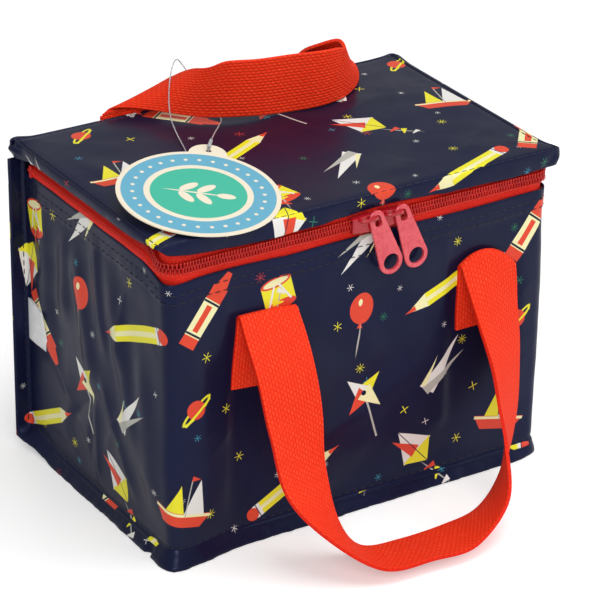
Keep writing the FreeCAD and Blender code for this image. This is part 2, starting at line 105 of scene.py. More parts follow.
def clouds(tree, place, scale, detail=3.0, roughness=0.5, distortion=0.0):
    node = addNode(tree, "TexNoise")
    feed(tree, place, node.inputs["Vector"])
    node.inputs["Scale"].default_value = scale
    node.inputs["Detail"].default_value = detail
    node.inputs["Roughness"].default_value = roughness
    node.inputs["Distortion"].default_value = distortion
    return node.outputs["Fac"]


def newGroup(name, inputs, outputs):
    tree = bpy.data.node_groups.new(name, "ShaderNodeTree")
    kinds = {"f": "NodeSocketFloat", "v": "NodeSocketVector", "c": "NodeSocketColor"}
    for way, sockets in (("INPUT", inputs), ("OUTPUT", outputs)):
        for label, kind in sockets.items():
            tree.interface.new_socket(label, in_out=way, socket_type=kinds[kind])
    return tree, tree.nodes.new("NodeGroupInput").outputs, tree.nodes.new("NodeGroupOutput").inputs


def useGroup(tree, group, **values):
    node = addNode(tree, "Group", node_tree=group)
    for label, value in values.items():
        feed(tree, value, node.inputs[label])
    return node.outputs


# shapes of the print, in millimetres, each in its own turned frame

def turnedPlace(tree, source):
    spot = addNode(tree, "CombineXYZ")
    feed(tree, source["X"], spot.inputs[0])
    feed(tree, source["Y"], spot.inputs[1])
    moved = vectorCalc(tree, "SUBTRACT", source["Place"], spot.outputs[0])
    turned = addNode(tree, "VectorRotate", rotation_type="Z_AXIS", invert=True)
    feed(tree, moved, turned.inputs["Vector"])
    feed(tree, source["Turn"], turned.inputs["Angle"])
    apart = addNode(tree, "SeparateXYZ")
    feed(tree, turned.outputs[0], apart.inputs[0])
    return apart.outputs[0], apart.outputs[1]


shapeInputs = {"Place": "v", "X": "f", "Y": "f", "Turn": "f", "Length": "f", "Width": "f", "Taper": "f"}
softEdge = 0.22  # width of an ink edge, mm


def edgeMask(tree, inside):
    return calc(tree, "MULTIPLY_ADD", inside, 1 / softEdge, 0.5, clamp=True)


def makeBarShape():
    tree, given, out = newGroup("bar shape", shapeInputs, {"Mask": "f"})
    x, y = turnedPlace(tree, given)
    along = calc(tree, "DIVIDE", x, given["Length"])
    narrowing = calc(tree, "MULTIPLY", given["Taper"], calc(tree, "MULTIPLY_ADD", along, 0.5, 0.5))
    half = calc(tree, "MULTIPLY", given["Width"], calc(tree, "SUBTRACT", 1.0, narrowing))
    ends = edgeMask(tree, calc(tree, "SUBTRACT", given["Length"], calc(tree, "ABSOLUTE", x)))
    sides = edgeMask(tree, calc(tree, "SUBTRACT", half, calc(tree, "ABSOLUTE", y)))
    feed(tree, calc(tree, "MULTIPLY", ends, sides), out[0])
    return tree


def makeDiscShape():
    # Taper bends the disc into a bean, like a crescent or a sail
    tree, given, out = newGroup("disc shape", shapeInputs, {"Mask": "f"})
    x, y = turnedPlace(tree, given)
    along = calc(tree, "DIVIDE", x, given["Length"])
    bent = calc(tree, "MULTIPLY", given["Taper"], calc(tree, "MULTIPLY", along, along))
    across = calc(tree, "SUBTRACT", calc(tree, "DIVIDE", y, given["Width"]), bent)
    radius = calc(tree, "SQRT", calc(tree, "ADD", calc(tree, "MULTIPLY", along, along),
                                     calc(tree, "MULTIPLY", across, across)))
    inside = calc(tree, "MULTIPLY", calc(tree, "SUBTRACT", 1.0, radius), given["Width"])
    feed(tree, edgeMask(tree, inside), out[0])
    return tree


def makeSparkShape():
    # Width is how many rays, Taper how fine they are
    tree, given, out = newGroup("spark shape", shapeInputs, {"Mask": "f"})
    x, y = turnedPlace(tree, given)
    angle = calc(tree, "MULTIPLY", calc(tree, "ARCTAN2", y, x), calc(tree, "MULTIPLY", given["Width"], 0.5))
    ray = calc(tree, "POWER", calc(tree, "ABSOLUTE", calc(tree, "COSINE", angle)), given["Taper"])
    radius = calc(tree, "SQRT", calc(tree, "ADD", calc(tree, "MULTIPLY", x, x), calc(tree, "MULTIPLY", y, y)))
    reach = calc(tree, "MULTIPLY", given["Length"], calc(tree, "MULTIPLY_ADD", ray, 0.85, 0.15))
    feed(tree, edgeMask(tree, calc(tree, "SUBTRACT", reach, radius)), out[0])
    return tree


inks = {
    "ground": tint("10142f"), "white": tint("eceae4"), "cream": tint("f3eeb4"), "yellow": tint("efe62a"),
    "orange": tint("e2492a"), "grey": tint("b9b8ae"), "green": tint("4fa648"), "cyan": tint("3f93ab"),
    "leaf": tint("2f7a5a"), "red": tint("b83a34"),
}

# every toy of the print: where it lies in the repeat, its turn, and its shapes from the bottom one up
# (kind, ink, x, y, turn, length, width, taper), with lengths as half lengths
pencil = [
    ("bar", "yellow", -4, 0, 0, 17, 3.6, 0), ("bar", "cream", -4, 0, 0, 17, 1.1, 0),
    ("bar", "cream", 17.5, 0, 0, 4.5, 3.6, 0.75), ("bar", "orange", 23, 0, 0, 3, 1.3, 1),
    ("bar", "white", -22.5, 0, 0, 1.9, 3.7, 0), ("disc", "orange", -25.6, 0, 0, 3.2, 3.6, 0),
    ("bar", "ground", -22.5, 0, 0, 0.25, 3.7, 0),
]
crayon = [
    ("bar", "orange", -2, 0, 0, 15, 4.4, 0), ("bar", "cream", -3, 0, 0, 9, 4.5, 0),
    ("bar", "orange", -3, 0, 0, 6.5, 1.6, 0), ("bar", "ground", -11, 0, 0, 0.5, 4.5, 0),
    ("bar", "ground", 5, 0, 0, 0.5, 4.5, 0), ("bar", "orange", 16.5, 0, 0, 4, 3.4, 0.6),
]
kite = [
    ("bar", "white", 6, 0, 0, 9, 9.5, 1), ("bar", "yellow", -7, 0, 3.1416, 5, 9.5, 1),
    ("bar", "orange", 6, 3, 0.28, 8.3, 3.4, 1), ("bar", "ground", 1.5, 0, 0, 13.5, 0.22, 0),
    ("disc", "grey", -20, 1.6, 0.1, 9, 0.35, 0.0), ("bar", "orange", -16, 1.5, 1.2, 3, 1.6, 0.8),
    ("bar", "yellow", -21, 1.5, 1.9, 2.8, 1.5, 0.8), ("bar", "white", -26.5, 1.5, 1.3, 2.4, 1.3, 0.8),
]
boat = [
    ("bar", "orange", 0, -8, -1.5708, 3.4, 15, 0.35), ("bar", "cream", 0, -5.6, 0, 14.6, 0.7, 0),
    ("bar", "white", 5.2, 3.6, 1.5708, 8.6, 5.6, 1), ("bar", "yellow", -4.6, 2.4, 1.5708, 7, 4.2, 1),
    ("bar", "grey", 0.6, 3, 1.5708, 9.2, 0.3, 0), ("bar", "orange", 2.6, 12.6, 0, 2.2, 1.4, 1),
]
pinwheel = [
    ("bar", "grey", 0, -14, 1.5708, 12, 0.5, 0),
    ("bar", "yellow", 5, 3.2, 0.5, 6.5, 4.6, 1), ("bar", "white", -3.2, 5, 2.07, 6.5, 4.6, 1),
    ("bar", "orange", -5, -3.2, 3.64, 6.5, 4.6, 1), ("bar", "cream", 3.2, -5, 5.21, 6.5, 4.6, 1),
    ("disc", "ground", 0, 0, 0, 1.3, 1.3, 0),
]
paperPlane = [
    ("bar", "white", 0, 2.6, 0.24, 15, 4.6, 1), ("bar", "grey", -2, -1.8, -0.06, 13.5, 2.6, 1),
    ("bar", "cream", -7, 5.4, 0.42, 8, 1.4, 1),
]
drum = [
    ("bar", "yellow", 0, 0, 1.5708, 6, 8, 0), ("disc", "orange", 0, 6, 0, 8, 2.6, 0),
    ("disc", "orange", 0, -6, 0, 8, 2.6, 0), ("disc", "cream", 0, 6, 0, 6.6, 1.7, 0),
    ("bar", "white", -3.5, 0, 1.1, 5.4, 0.5, 0), ("bar", "white", 3.5, 0, 2.0, 5.4, 0.5, 0),
]
balloon = [
    ("disc", "orange", 0, 0, 0.3, 7.5, 6.4, 0), ("disc", "cream", 2.4, 2, 0.3, 1.7, 1.1, 0),
    ("bar", "orange", -7.6, -2.4, 0.3, 1.6, 1.5, 1), ("disc", "grey", -15, -5.4, 0.35, 7.5, 0.4, 0.0),
]
quoit = [
    ("disc", "yellow", 0, 0, 0.2, 9.5, 2.4, 0), ("disc", "ground", 0, 0, 0.2, 7.9, 1.3, 0),
    ("disc", "orange", 0, 0.6, 0, 4.6, 4.6, 0), ("bar", "yellow", 0, -1.2, 0.2, 8.6, 0.55, 0),
]
repeatSize = (176, 148)
layout = [
    (pencil, 30, 24, 0.5), (kite, 96, 22, 2.3), (boat, 146, 30, -0.25), (crayon, 26, 72, -0.9),
    (pinwheel, 66, 60, 0.3), (paperPlane, 112, 62, 0.7), (quoit, 152, 76, 0.5), (balloon, 64, 104, 1.1),
    (pencil, 112, 104, 3.5), (drum, 20, 122, 0.25), (paperPlane, 62, 136, -2.6), (crayon, 158, 122, 0.9),
    (kite, 12, 98, 4.4),
]
sparkle = {"cell": 27.0, "size": (1.5, 3.1), "fine": 13.0, "turn": 6.28, "rays": 4.0}


def makePrint():
    kinds = {"bar": makeBarShape(), "disc": makeDiscShape(), "spark": makeSparkShape()}
    tree, given, out = newGroup("toy print", {"Place": "v"}, {"Colour": "c"})
    place = vectorCalc(tree, "MULTIPLY", given["Place"], (1000.0, 1000.0, 0.0))
    colour = inks["ground"]
    width, height = repeatSize

    def around(x, y, turn):
        # the repeat's own coordinates about one toy, so that one across its edge stays whole
        moved = vectorCalc(tree, "SUBTRACT", place, (x, y, 0.0))
        wrapped = vectorCalc(tree, "WRAP", moved, (width / 2, height / 2, 1.0),
                             (-width / 2, -height / 2, -1.0))
        if turn == 0:
            return wrapped
        turned = addNode(tree, "VectorRotate", rotation_type="Z_AXIS", invert=True)
        feed(tree, wrapped, turned.inputs["Vector"])
        turned.inputs["Angle"].default_value = turn
        return turned.outputs[0]

    for toy, x, y, turn in layout:
        spot = around(x, y, turn)
        for kind, ink, px, py, own, length, wide, taper in toy:
            mask = useGroup(tree, kinds[kind], Place=spot, X=px, Y=py, Turn=own,
                            Length=length, Width=wide, Taper=taper)[0]
            colour = mixColour(tree, mask, colour, inks[ink])
    # one small star in each cell of an uneven grid, turned, sized and coloured by chance
    cell = addNode(tree, "TexVoronoi", voronoi_dimensions="2D")
    cell.inputs["Scale"].default_value = 1 / sparkle["cell"]
    feed(tree, place, cell.inputs["Vector"])
    chance = addNode(tree, "SeparateColor")
    feed(tree, cell.outputs["Color"], chance.inputs[0])
    local = vectorCalc(tree, "SUBTRACT", place, cell.outputs["Position"])
    morePairs = calc(tree, "ROUND", calc(tree, "MULTIPLY", chance.outputs[2], 2.0))
    star = useGroup(tree, kinds["spark"], Place=local, X=0.0, Y=0.0,
                    Turn=calc(tree, "MULTIPLY", chance.outputs[0], sparkle["turn"]),
                    Length=spread(tree, chance.outputs[1], 0.0, 1.0, *sparkle["size"]),
                    Width=calc(tree, "MULTIPLY_ADD", morePairs, 2.0, sparkle["rays"]),
                    Taper=sparkle["fine"])[0]
    inkChoice = addNode(tree, "ValToRGB")
    inkChoice.color_ramp.interpolation = "CONSTANT"
    stops = inkChoice.color_ramp.elements
    for position, ink in zip((0.0, 0.3, 0.5, 0.62, 0.8), ("white", "cyan", "leaf", "yellow", "red")):
        stop = stops[0] if position == 0 else stops.new(position)
        stop.color = inks[ink]
    stops.remove(stops[-1])
    feed(tree, chance.outputs[1], inkChoice.inputs[0])
    inked = spread(tree, vectorCalc(tree, "DISTANCE", colour, inks["ground"][:3]), 0.0, 0.01)
    free = calc(tree, "SUBTRACT", 1.0, inked)
    colour = mixColour(tree, calc(tree, "MULTIPLY", star, free), colour, inkChoice.outputs[0])
    feed(tree, colour, out[0])
    return tree


def makeWeave():
    # rows of short floats, each row half a step on from the last, as in webbing and tape
    tree, given, out = newGroup("woven rows", {"Place": "v", "Across": "f", "Along": "f", "Slant": "f"},
                                {"Height": "f", "Chance": "f"})
    apart = addNode(tree, "SeparateXYZ")
    feed(tree, given["Place"], apart.inputs[0])
    across = calc(tree, "DIVIDE", apart.outputs[0], given["Across"])
    along = calc(tree, "DIVIDE", apart.outputs[1], given["Along"])
    row = calc(tree, "FLOOR", across)
    inRow = calc(tree, "SUBTRACT", calc(tree, "FRACT", across), 0.5)
    slant = calc(tree, "MULTIPLY", calc(tree, "SUBTRACT", calc(tree, "MULTIPLY", calc(tree, "MODULO", calc(
        tree, "ABSOLUTE", row), 2.0), 2.0), 1.0), inRow)
    shifted = calc(tree, "ADD", along, calc(
        tree, "MULTIPLY_ADD", row, 0.5, calc(tree, "MULTIPLY", slant, given["Slant"])))
    inStep = calc(tree, "SUBTRACT", calc(tree, "FRACT", shifted), 0.5)
    crown = calc(tree, "MULTIPLY", calc(tree, "COSINE", calc(tree, "MULTIPLY", inRow, 3.0)),
                 calc(tree, "COSINE", calc(tree, "MULTIPLY", inStep, 2.9)))
    feed(tree, calc(tree, "POWER", calc(tree, "MAXIMUM", crown, 0.0), 0.75), out["Height"])
    cell = addNode(tree, "CombineXYZ")
    feed(tree, row, cell.inputs[0])
    feed(tree, calc(tree, "FLOOR", shifted), cell.inputs[1])
    chance = addNode(tree, "TexWhiteNoise", noise_dimensions="2D")
    feed(tree, cell.outputs[0], chance.inputs["Vector"])
    feed(tree, chance.outputs["Value"], out["Chance"])
    return tree


def makeCrinkle():
    # soft lines that a handled film keeps
    tree, given, out = newGroup("film crinkle", {"Place": "v", "Scale": "f"}, {"Height": "f", "Dull": "f"})
    scaled = addNode(tree, "VectorMath", operation="SCALE")
    feed(tree, given["Place"], scaled.inputs[0])
    feed(tree, given["Scale"], scaled.inputs["Scale"])
    broad = clouds(tree, scaled.outputs[0], 1.0, 2.5, 0.5, 0.4)
    veins = clouds(tree, scaled.outputs[0], 1.6, 1.5, 0.5, 0.8)
    ridges = calc(tree, "ABSOLUTE", calc(tree, "SUBTRACT", veins, 0.5))
    lines = calc(tree, "SUBTRACT", 1.0, calc(tree, "MULTIPLY", ridges, 6.0, clamp=True))
    feed(tree, calc(tree, "ADD", broad, calc(tree, "MULTIPLY", lines, 0.09)), out["Height"])
    feed(tree, broad, out["Dull"])
    return tree


groups = {"print": makePrint(), "weave": makeWeave(), "crinkle": makeCrinkle()}


def newMaterial(name, **fixed):
    material = bpy.data.materials.new(name)
    material.use_nodes = True
    shader = material.node_tree.nodes["Principled BSDF"]
    for label, value in fixed.items():
        shader.inputs[label.replace("_", " ")].default_value = value
    return material, material.node_tree, shader


def bumped(tree, shader, height, distance, strength):
    node = addNode(tree, "Bump")
    node.inputs["Strength"].default_value = strength
    node.inputs["Distance"].default_value = distance
    feed(tree, height, node.inputs["Height"])
    feed(tree, node.outputs[0], shader.inputs["Normal"])


def clothPlace(tree):
    return addNode(tree, "UVMap", uv_map="cloth").outputs[0]


def objectPlace(tree):
    return addNode(tree, "TexCoord").outputs["Object"]


def makeShellMaterial():
    material, tree, shader = newMaterial("laminated print", Coat_Roughness=0.16, Specular_IOR_Level=0.2,
                                        Specular_Tint=(0.45, 0.55, 1.0, 1.0))
    place = clothPlace(tree)
    colour = useGroup(tree, groups["print"], Place=place)[0]
    crinkle = useGroup(tree, groups["crinkle"], Place=objectPlace(tree), Scale=15.0)
    # a paler blue-grey laid on the crinkle's broad patches is painted sheen
    paintedSheen = spread(tree, crinkle["Dull"], 0.46, 0.78, 0.0, 0.06)
    feed(tree, mixColour(tree, paintedSheen, colour, tint("5c6090")), shader.inputs["Base Color"])
    feed(tree, spread(tree, crinkle["Dull"], 0.3, 0.75, 0.30, 0.44), shader.inputs["Roughness"])
    feed(tree, spread(tree, crinkle["Dull"], 0.38, 0.64, 0.19, 0.015), shader.inputs["Coat Weight"])
    weave = useGroup(tree, groups["weave"], Place=place, Across=1.5 * mm, Along=1.5 * mm, Slant=0.0)["Height"]
    height = calc(tree, "MULTIPLY_ADD", weave, 0.03, crinkle["Height"])
    bumped(tree, shader, height, 2.1 * mm, 0.5)
    return material


def makeWebbingMaterial():
    material, tree, shader = newMaterial("webbing", Specular_IOR_Level=0.2)
    place = clothPlace(tree)
    weave = useGroup(tree, groups["weave"], Place=place, Across=1.6 * mm, Along=2.7 * mm, Slant=0.14)
    fibre = clouds(tree, vectorCalc(tree, "MULTIPLY", place, (5200.0, 900.0, 1.0)), 1.0, 2.0)
    fade = clouds(tree, place, 60.0, 2.0)
    # the weave's valleys are painted darker and its floats lighter: painted shade and painted highlight
    colour = mixColour(tree, spread(tree, weave["Height"], 0.0, 0.45), tint("da1a04"), tint("fa3510"))
    # the crowns of the floats are painted brighter still, more on some than others: painted highlight
    crown = calc(tree, "MULTIPLY", spread(tree, weave["Height"], 0.5, 1.0),
                 spread(tree, weave["Chance"], 0.0, 1.0, 0.2, 1.0))
    colour = mixColour(tree, crown, colour, tint("ff4f28"))
    colour = mixColour(tree, spread(tree, fibre, 0.5, 0.8, 0.0, 0.3), colour, tint("ff4c22"))
    colour = mixColour(tree, spread(tree, fade, 0.45, 0.8, 0.0, 0.3), colour, tint("ec2a0c"))
    feed(tree, colour, shader.inputs["Base Color"])
    feed(tree, spread(tree, fibre, 0.2, 0.8, 0.55, 0.85), shader.inputs["Roughness"])
    height = calc(tree, "MULTIPLY_ADD", fibre, 0.18, weave["Height"])
    bumped(tree, shader, height, 0.45 * mm, 0.75)
    return material


def makeTapeMaterial():
    material, tree, shader = newMaterial("zip tape", Specular_IOR_Level=0.25)
    place = clothPlace(tree)
    weave = useGroup(tree, groups["weave"], Place=place, Across=0.9 * mm, Along=0.8 * mm, Slant=0.5)
    fade = clouds(tree, place, 90.0, 2.0)
    # darker in the weave's hollows and lighter on its floats: painted shade and painted highlight
    colour = mixColour(tree, spread(tree, weave["Height"], 0.1, 0.9), tint("d01408"), tint("f8301c"))
    feed(tree, mixColour(tree, spread(tree, fade, 0.4, 0.8, 0.0, 0.35), colour, tint("e0200f")),
         shader.inputs["Base Color"])
    feed(tree, spread(tree, fade, 0.3, 0.7, 0.6, 0.8), shader.inputs["Roughness"])
    bumped(tree, shader, weave["Height"], 0.25 * mm, 0.8)
    return material


def makePlainMaterial(name, low, high, roughness, scale=220.0, bump=0.03, **fixed):
    # one colour with a little change in tone, gloss and surface
    material, tree, shader = newMaterial(name, **fixed)
    place = objectPlace(tree)
    tone = clouds(tree, place, scale, 4.0)
    slow = clouds(tree, place, scale / 7, 2.0)
    mixed = calc(tree, "ADD", calc(tree, "MULTIPLY", tone, 0.5), calc(tree, "MULTIPLY", slow, 0.5))
    feed(tree, mixColour(tree, spread(tree, mixed, 0.35, 0.65), tint(low), tint(high)),
         shader.inputs["Base Color"])
    feed(tree, spread(tree, mixed, 0.35, 0.65, *roughness), shader.inputs["Roughness"])
    bumped(tree, shader, tone, bump * mm, 0.6)
    return material


def makeFoilMaterial():
    material, tree, shader = newMaterial("foil lining", Metallic=0.85)
    place = objectPlace(tree)
    crinkle = useGroup(tree, groups["crinkle"], Place=place, Scale=34.0)
    fine = useGroup(tree, groups["crinkle"], Place=place, Scale=120.0)
    feed(tree, mixColour(tree, spread(tree, crinkle["Dull"], 0.3, 0.7), tint("a9adb2"), tint("dfe2e4")),
         shader.inputs["Base Color"])
    feed(tree, spread(tree, fine["Dull"], 0.3, 0.7, 0.22, 0.42), shader.inputs["Roughness"])
    height = calc(tree, "MULTIPLY_ADD", fine["Height"], 0.1, crinkle["Height"])
    bumped(tree, shader, height, 1.4 * mm, 0.6)
    return material


def makeCardMaterial():
    # rings of colour round a green middle, with a plain sprig on it
    material, tree, shader = newMaterial("tag card")
    place = clothPlace(tree)
    flat = vectorCalc(tree, "MULTIPLY", place, (1000.0, 1000.0, 0.0))
    radius = vectorCalc(tree, "LENGTH", flat)
    apart = addNode(tree, "SeparateXYZ")
    feed(tree, flat, apart.inputs[0])
    angle = calc(tree, "ARCTAN2", apart.outputs[1], apart.outputs[0])
    grain = clouds(tree, flat, 1.6, 4.0)
    cream, blue, green = (tint(code) for code in card["inks"])
    colour = cream
    for edge, ink in ((card["blueRing"], blue), (card["creamRing"], cream), (card["greenDisc"], green)):
        colour = mixColour(tree, edgeMask(tree, calc(tree, "SUBTRACT", edge, radius)), colour, ink)
    dotStep = calc(tree, "FRACT", calc(tree, "MULTIPLY", angle, card["dots"] / math.tau))
    dotTurn = calc(tree, "SUBTRACT", dotStep, 0.5)
    dotAcross = calc(tree, "MULTIPLY", dotTurn, math.tau * card["dotRing"] / card["dots"])
    dotUp = calc(tree, "SUBTRACT", radius, card["dotRing"])
    dotFar = calc(tree, "SQRT", calc(tree, "ADD", calc(tree, "MULTIPLY", dotAcross, dotAcross),
                                     calc(tree, "MULTIPLY", dotUp, dotUp)))
    colour = mixColour(tree, edgeMask(tree, calc(tree, "SUBTRACT", card["dotRadius"], dotFar)), colour, cream)
    for x, y, turn, length, wide, bend in card["sprig"]:
        mask = useGroup(tree, bpy.data.node_groups["disc shape"], Place=flat, X=x, Y=y, Turn=turn,
                        Length=length, Width=wide, Taper=bend)[0]
        colour = mixColour(tree, mask, colour, cream)
    feed(tree, mixColour(tree, spread(tree, grain, 0.4, 0.8, 0.0, 0.12), colour, tint("d8cdb8")),
         shader.inputs["Base Color"])
    feed(tree, spread(tree, grain, 0.3, 0.7, 0.5, 0.65), shader.inputs["Roughness"])
    bumped(tree, shader, grain, 0.03 * mm, 0.5)
    return material


card = {
    "radius": 37.0, "thickness": 0.6, "reach": 39.2, "earRadius": 8.9, "earInset": 3.2, "holeRadius": 1.4,
    "hole": (-45.3, -6.3, 168.3), "heading": 233.1, "dip": 5.0, "roll": 5.6, "edge": 0.12,
    "inks": ("f2e6cf", "5eacc9", "31ba9d"), "blueRing": 34.8, "creamRing": 24.6, "greenDisc": 21.8,
    "dotRing": 29.6, "dots": 30, "dotRadius": 0.95,
    "sprig": [
        (0, -2, 1.571, 13, 0.55, 0.0), (-4.6, 3, 2.4, 5.2, 2.2, 0.0), (4.6, 3, 0.74, 5.2, 2.2, 0.0),
        (-4.6, -5, 2.4, 5.2, 2.2, 0.0), (4.6, -5, 0.74, 5.2, 2.2, 0.0), (0, 12.5, 1.571, 4.2, 2.2, 0.0),
    ],
}

finishes = {
    "shell": makeShellMaterial(),
    "webbing": makeWebbingMaterial(),
    "tape": makeTapeMaterial(),
    "foil": makeFoilMaterial(),
    "card": makeCardMaterial(),
    "coil": makePlainMaterial("zip coil", "a81410", "cc241c", (0.34, 0.46), Specular_IOR_Level=0.35),
    "slider": makePlainMaterial("red enamel", "a4101c", "bc1c2a", (0.18, 0.28), 400.0, 0.02, Coat_Weight=0.35,
                                Coat_Roughness=0.08),
    "pull": makePlainMaterial("pull enamel", "d63c4a", "e85c66", (0.24, 0.36), 700.0, 0.08, Coat_Weight=0.4,
                              Coat_Roughness=0.15),
    "foam": makePlainMaterial("foam", "d8d8d2", "eeeee9", (0.8, 0.9), 500.0, 0.3),
    "label": makePlainMaterial("white tape", "dedfe2", "f3f3f2", (0.6, 0.75), 900.0, 0.12),
    "navyStitch": makePlainMaterial("navy thread", "0a0b16", "14162a", (0.5, 0.65), 900.0, 0.05),
    "redStitch": makePlainMaterial("red thread", "d92a1e", "f04a34", (0.5, 0.65), 900.0, 0.05),
    "thread": makePlainMaterial("clear thread", "c9ccd0", "e2e4e6", (0.15, 0.25), 900.0, 0.01,
                                Transmission_Weight=0.55, IOR=1.46),
}
print("materials made")


# mesh helpers

def finish(name, bm, material, smooth=True):
    mesh = bpy.data.meshes.new(name)
    bm.to_mesh(mesh)
    bm.free()
    mesh.materials.append(finishes[material])
    mesh.shade_smooth() if smooth else mesh.shade_flat()
    piece = bpy.data.objects.new(name, mesh)
    bpy.context.scene.collection.objects.link(piece)
    return piece


def cloth(name, columns, rows, shape, uv, material, thickness, offset=-1.0):
    # a grid laid onto a surface: shape and uv take arrays of both grid coordinates, 0 to 1
    bm = bmesh.new()
    bmesh.ops.create_grid(bm, x_segments=columns, y_segments=rows, size=0.5)
    flat = np.array([vert.co[:] for vert in bm.verts])
    across, up = flat[:, 0] + 0.5, flat[:, 1] + 0.5
    placed = shape(across, up) * mm
    marks = uv(across, up) * mm
    for vert, spot in zip(bm.verts, placed):
        vert.co = spot
    layer = bm.loops.layers.uv.new("cloth")
    for face in bm.faces:
        for loop in face.loops:
            loop[layer].uv = marks[loop.vert.index]
    piece = finish(name, bm, material)
    shell = piece.modifiers.new("thickness", "SOLIDIFY")
    shell.thickness = thickness * mm
    shell.offset = offset
    shell.use_even_offset = True
    shell.use_quality_normals = True
    return piece


def roundEdges(piece, width, segments):
    soften = piece.modifiers.new("edges", "BEVEL")
    soften.width = width * mm
    soften.segments = segments
    soften.limit_method = "ANGLE"
    soften.angle_limit = math.radians(60)


def planPath(points, radii, closed=False):
    # straight runs joined by arcs: what gives the points and outward normals along them, and their length
    runs = []
    count = len(points)
    corners = range(count) if closed else range(1, count - 1)
    arcs = {}
    for i in corners:
        at = np.array(points[i], float)
        back = np.array(points[i - 1], float) - at
        on = np.array(points[(i + 1) % count], float) - at
        back /= np.linalg.norm(back)
        on /= np.linalg.norm(on)
        half = math.acos(np.clip(back @ on, -1, 1)) / 2
        reach = radii[i] / math.tan(half)
        middle = at + (back + on) / np.linalg.norm(back + on) * radii[i] / math.sin(half)
        arcs[i] = (at + back * reach, at + on * reach, middle, radii[i], math.pi - 2 * half)
    order = list(range(count)) + ([0] if closed else [])
    for a, b in zip(order, order[1:]):
        start = arcs[a][1] if a in arcs else np.array(points[a], float)
        end = arcs[b][0] if b in arcs else np.array(points[b], float)
        runs.append(("line", start, end, np.linalg.norm(end - start)))
        if b in arcs:
            enter, leave, middle, radius, turn = arcs[b]
            runs.append(("arc", enter, leave, radius * turn, middle, radius))
    lengths = np.array([run[3] for run in runs])
    starts = np.concatenate([[0], np.cumsum(lengths)])

    def at(distance):
        distance = np.clip(distance, 0, starts[-1] - 1e-9)
        which = np.clip(np.searchsorted(starts, distance, side="right") - 1, 0, len(runs) - 1)
        spots = np.zeros((len(distance), 2))
        normals = np.zeros((len(distance), 2))
        for number, run in enumerate(runs):
            chosen = which == number
            if not chosen.any():
                continue
            share = ((distance[chosen] - starts[number]) / run[3])[:, None]
            if run[0] == "line":
                way = (run[2] - run[1]) / run[3]
                spots[chosen] = run[1] + (run[2] - run[1]) * share
                normals[chosen] = (way[1], -way[0])
            else:
                middle, radius = run[4], run[5]
                first, last = run[1] - middle, run[2] - middle
                turn = math.atan2(first[0] * last[1] - first[1] * last[0], first @ last)
                angle = share[:, 0] * turn
                arm = np.stack([first[0] * np.cos(angle) - first[1] * np.sin(angle),
                                first[0] * np.sin(angle) + first[1] * np.cos(angle)], 1)
                spots[chosen] = middle + arm
                normals[chosen] = arm / radius * (1 if turn > 0 else -1)
        return spots, normals

    return at, starts[-1]


def smoothStep(value, low, high):
    t = np.clip((value - low) / (high - low), 0, 1)
    return t * t * (3 - 2 * t)


def hump(value, centre, width):
    # 1 at the centre, fading on both sides
    return np.exp(-((value - centre) / width) ** 2)


def ebb(value, reach):
    # 1 at nought, falling evenly to 0
    return np.clip(1 - value / reach, 0, 1)


def ripple(x, y, size, seed):
    # smooth noise over a sheet's two coordinates
    shift = Vector((seed * 3.7, seed * 1.9, seed * 5.3))
    return np.array([noise.noise(Vector((u, v, 0.0)) / size + shift) for u, v in zip(x, y)])


def foldLine(s, z, start, end, width, height, sharp):
    # a fold in a panel along one line, fading at its ends: a soft swell or a sharp ridge
    start, end = np.array(start, float), np.array(end, float)
    way = end - start
    length = np.linalg.norm(way)
    way /= length
    along = (s - start[0]) * way[0] + (z - start[1]) * way[1]
    off = -(s - start[0]) * way[1] + (z - start[1]) * way[0]
    fade = smoothStep(along, -0.18 * length, 0.22 * length) * smoothStep(along, 1.18 * length, 0.78 * length)
    if sharp:
        return height * fade * np.exp(-np.abs(off) / width)
    return height * fade * hump(off, 0, width)


def folded(s, z, lines):
    # all the folds of a panel together
    return sum(foldLine(s, z, *line) for line in lines)


def facet(s, z, corners, height):
    # a triangle of the sheet pushed out flat, with creased sides
    (ax, az), (bx, bz), (cx, cz) = corners
    area = (bx - ax) * (cz - az) - (cx - ax) * (bz - az)
    first = ((bx - s) * (cz - z) - (cx - s) * (bz - z)) / area
    second = ((cx - s) * (az - z) - (ax - s) * (cz - z)) / area
    third = 1 - first - second
    return height * np.clip(np.minimum(np.minimum(first, second), third) * 4.5, 0, 1)


def above(value, floor, softness):
    # values kept above a floor, with a smooth turn
    return floor + softness * np.logaddexp(0, (value - floor) / softness)


# the bag's walls

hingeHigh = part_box("hinge_strip")[1]
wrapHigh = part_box("wrap_panel")[1]
lidLow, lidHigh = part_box("lid_panel")
wall = {
    "sheet": 0.6, "radius": 5.5, "seamRadius": 0.9, "skirtOut": 4.5, "skirtHigh": 7.6, "hemDepth": 9.5,
    "hemRows": (5.2, 9.4), "leftHemRise": 4.4, "finRise": 11.3, "finFace": 0.8, "sink": 0.42,
    "skirtFlare": 1.2, "backRise": 3.9, "cornerLean": 4.6, "cornerPinch": 2.4, "finCut": 14.0,
    "sideSwell": 1.0, "frontSwell": 1.3, "leftFolds": 1.3, "rightFolds": 0.7, "stretchFrom": 100,
    "handleX": (-52, 67), "finStitch": 1.5,
}
wall["halfWidth"] = hingeHigh.x / mm + wall["sheet"]
wall["halfDepth"] = hingeHigh.y / mm
wall["fin"] = wrapHigh.x / mm - wall["halfWidth"]
wall["finTop"] = wrapHigh.z / mm
wall["hem"] = wall["finTop"] - wall["finRise"]
finLine = wall["halfDepth"] - wall["finFace"]
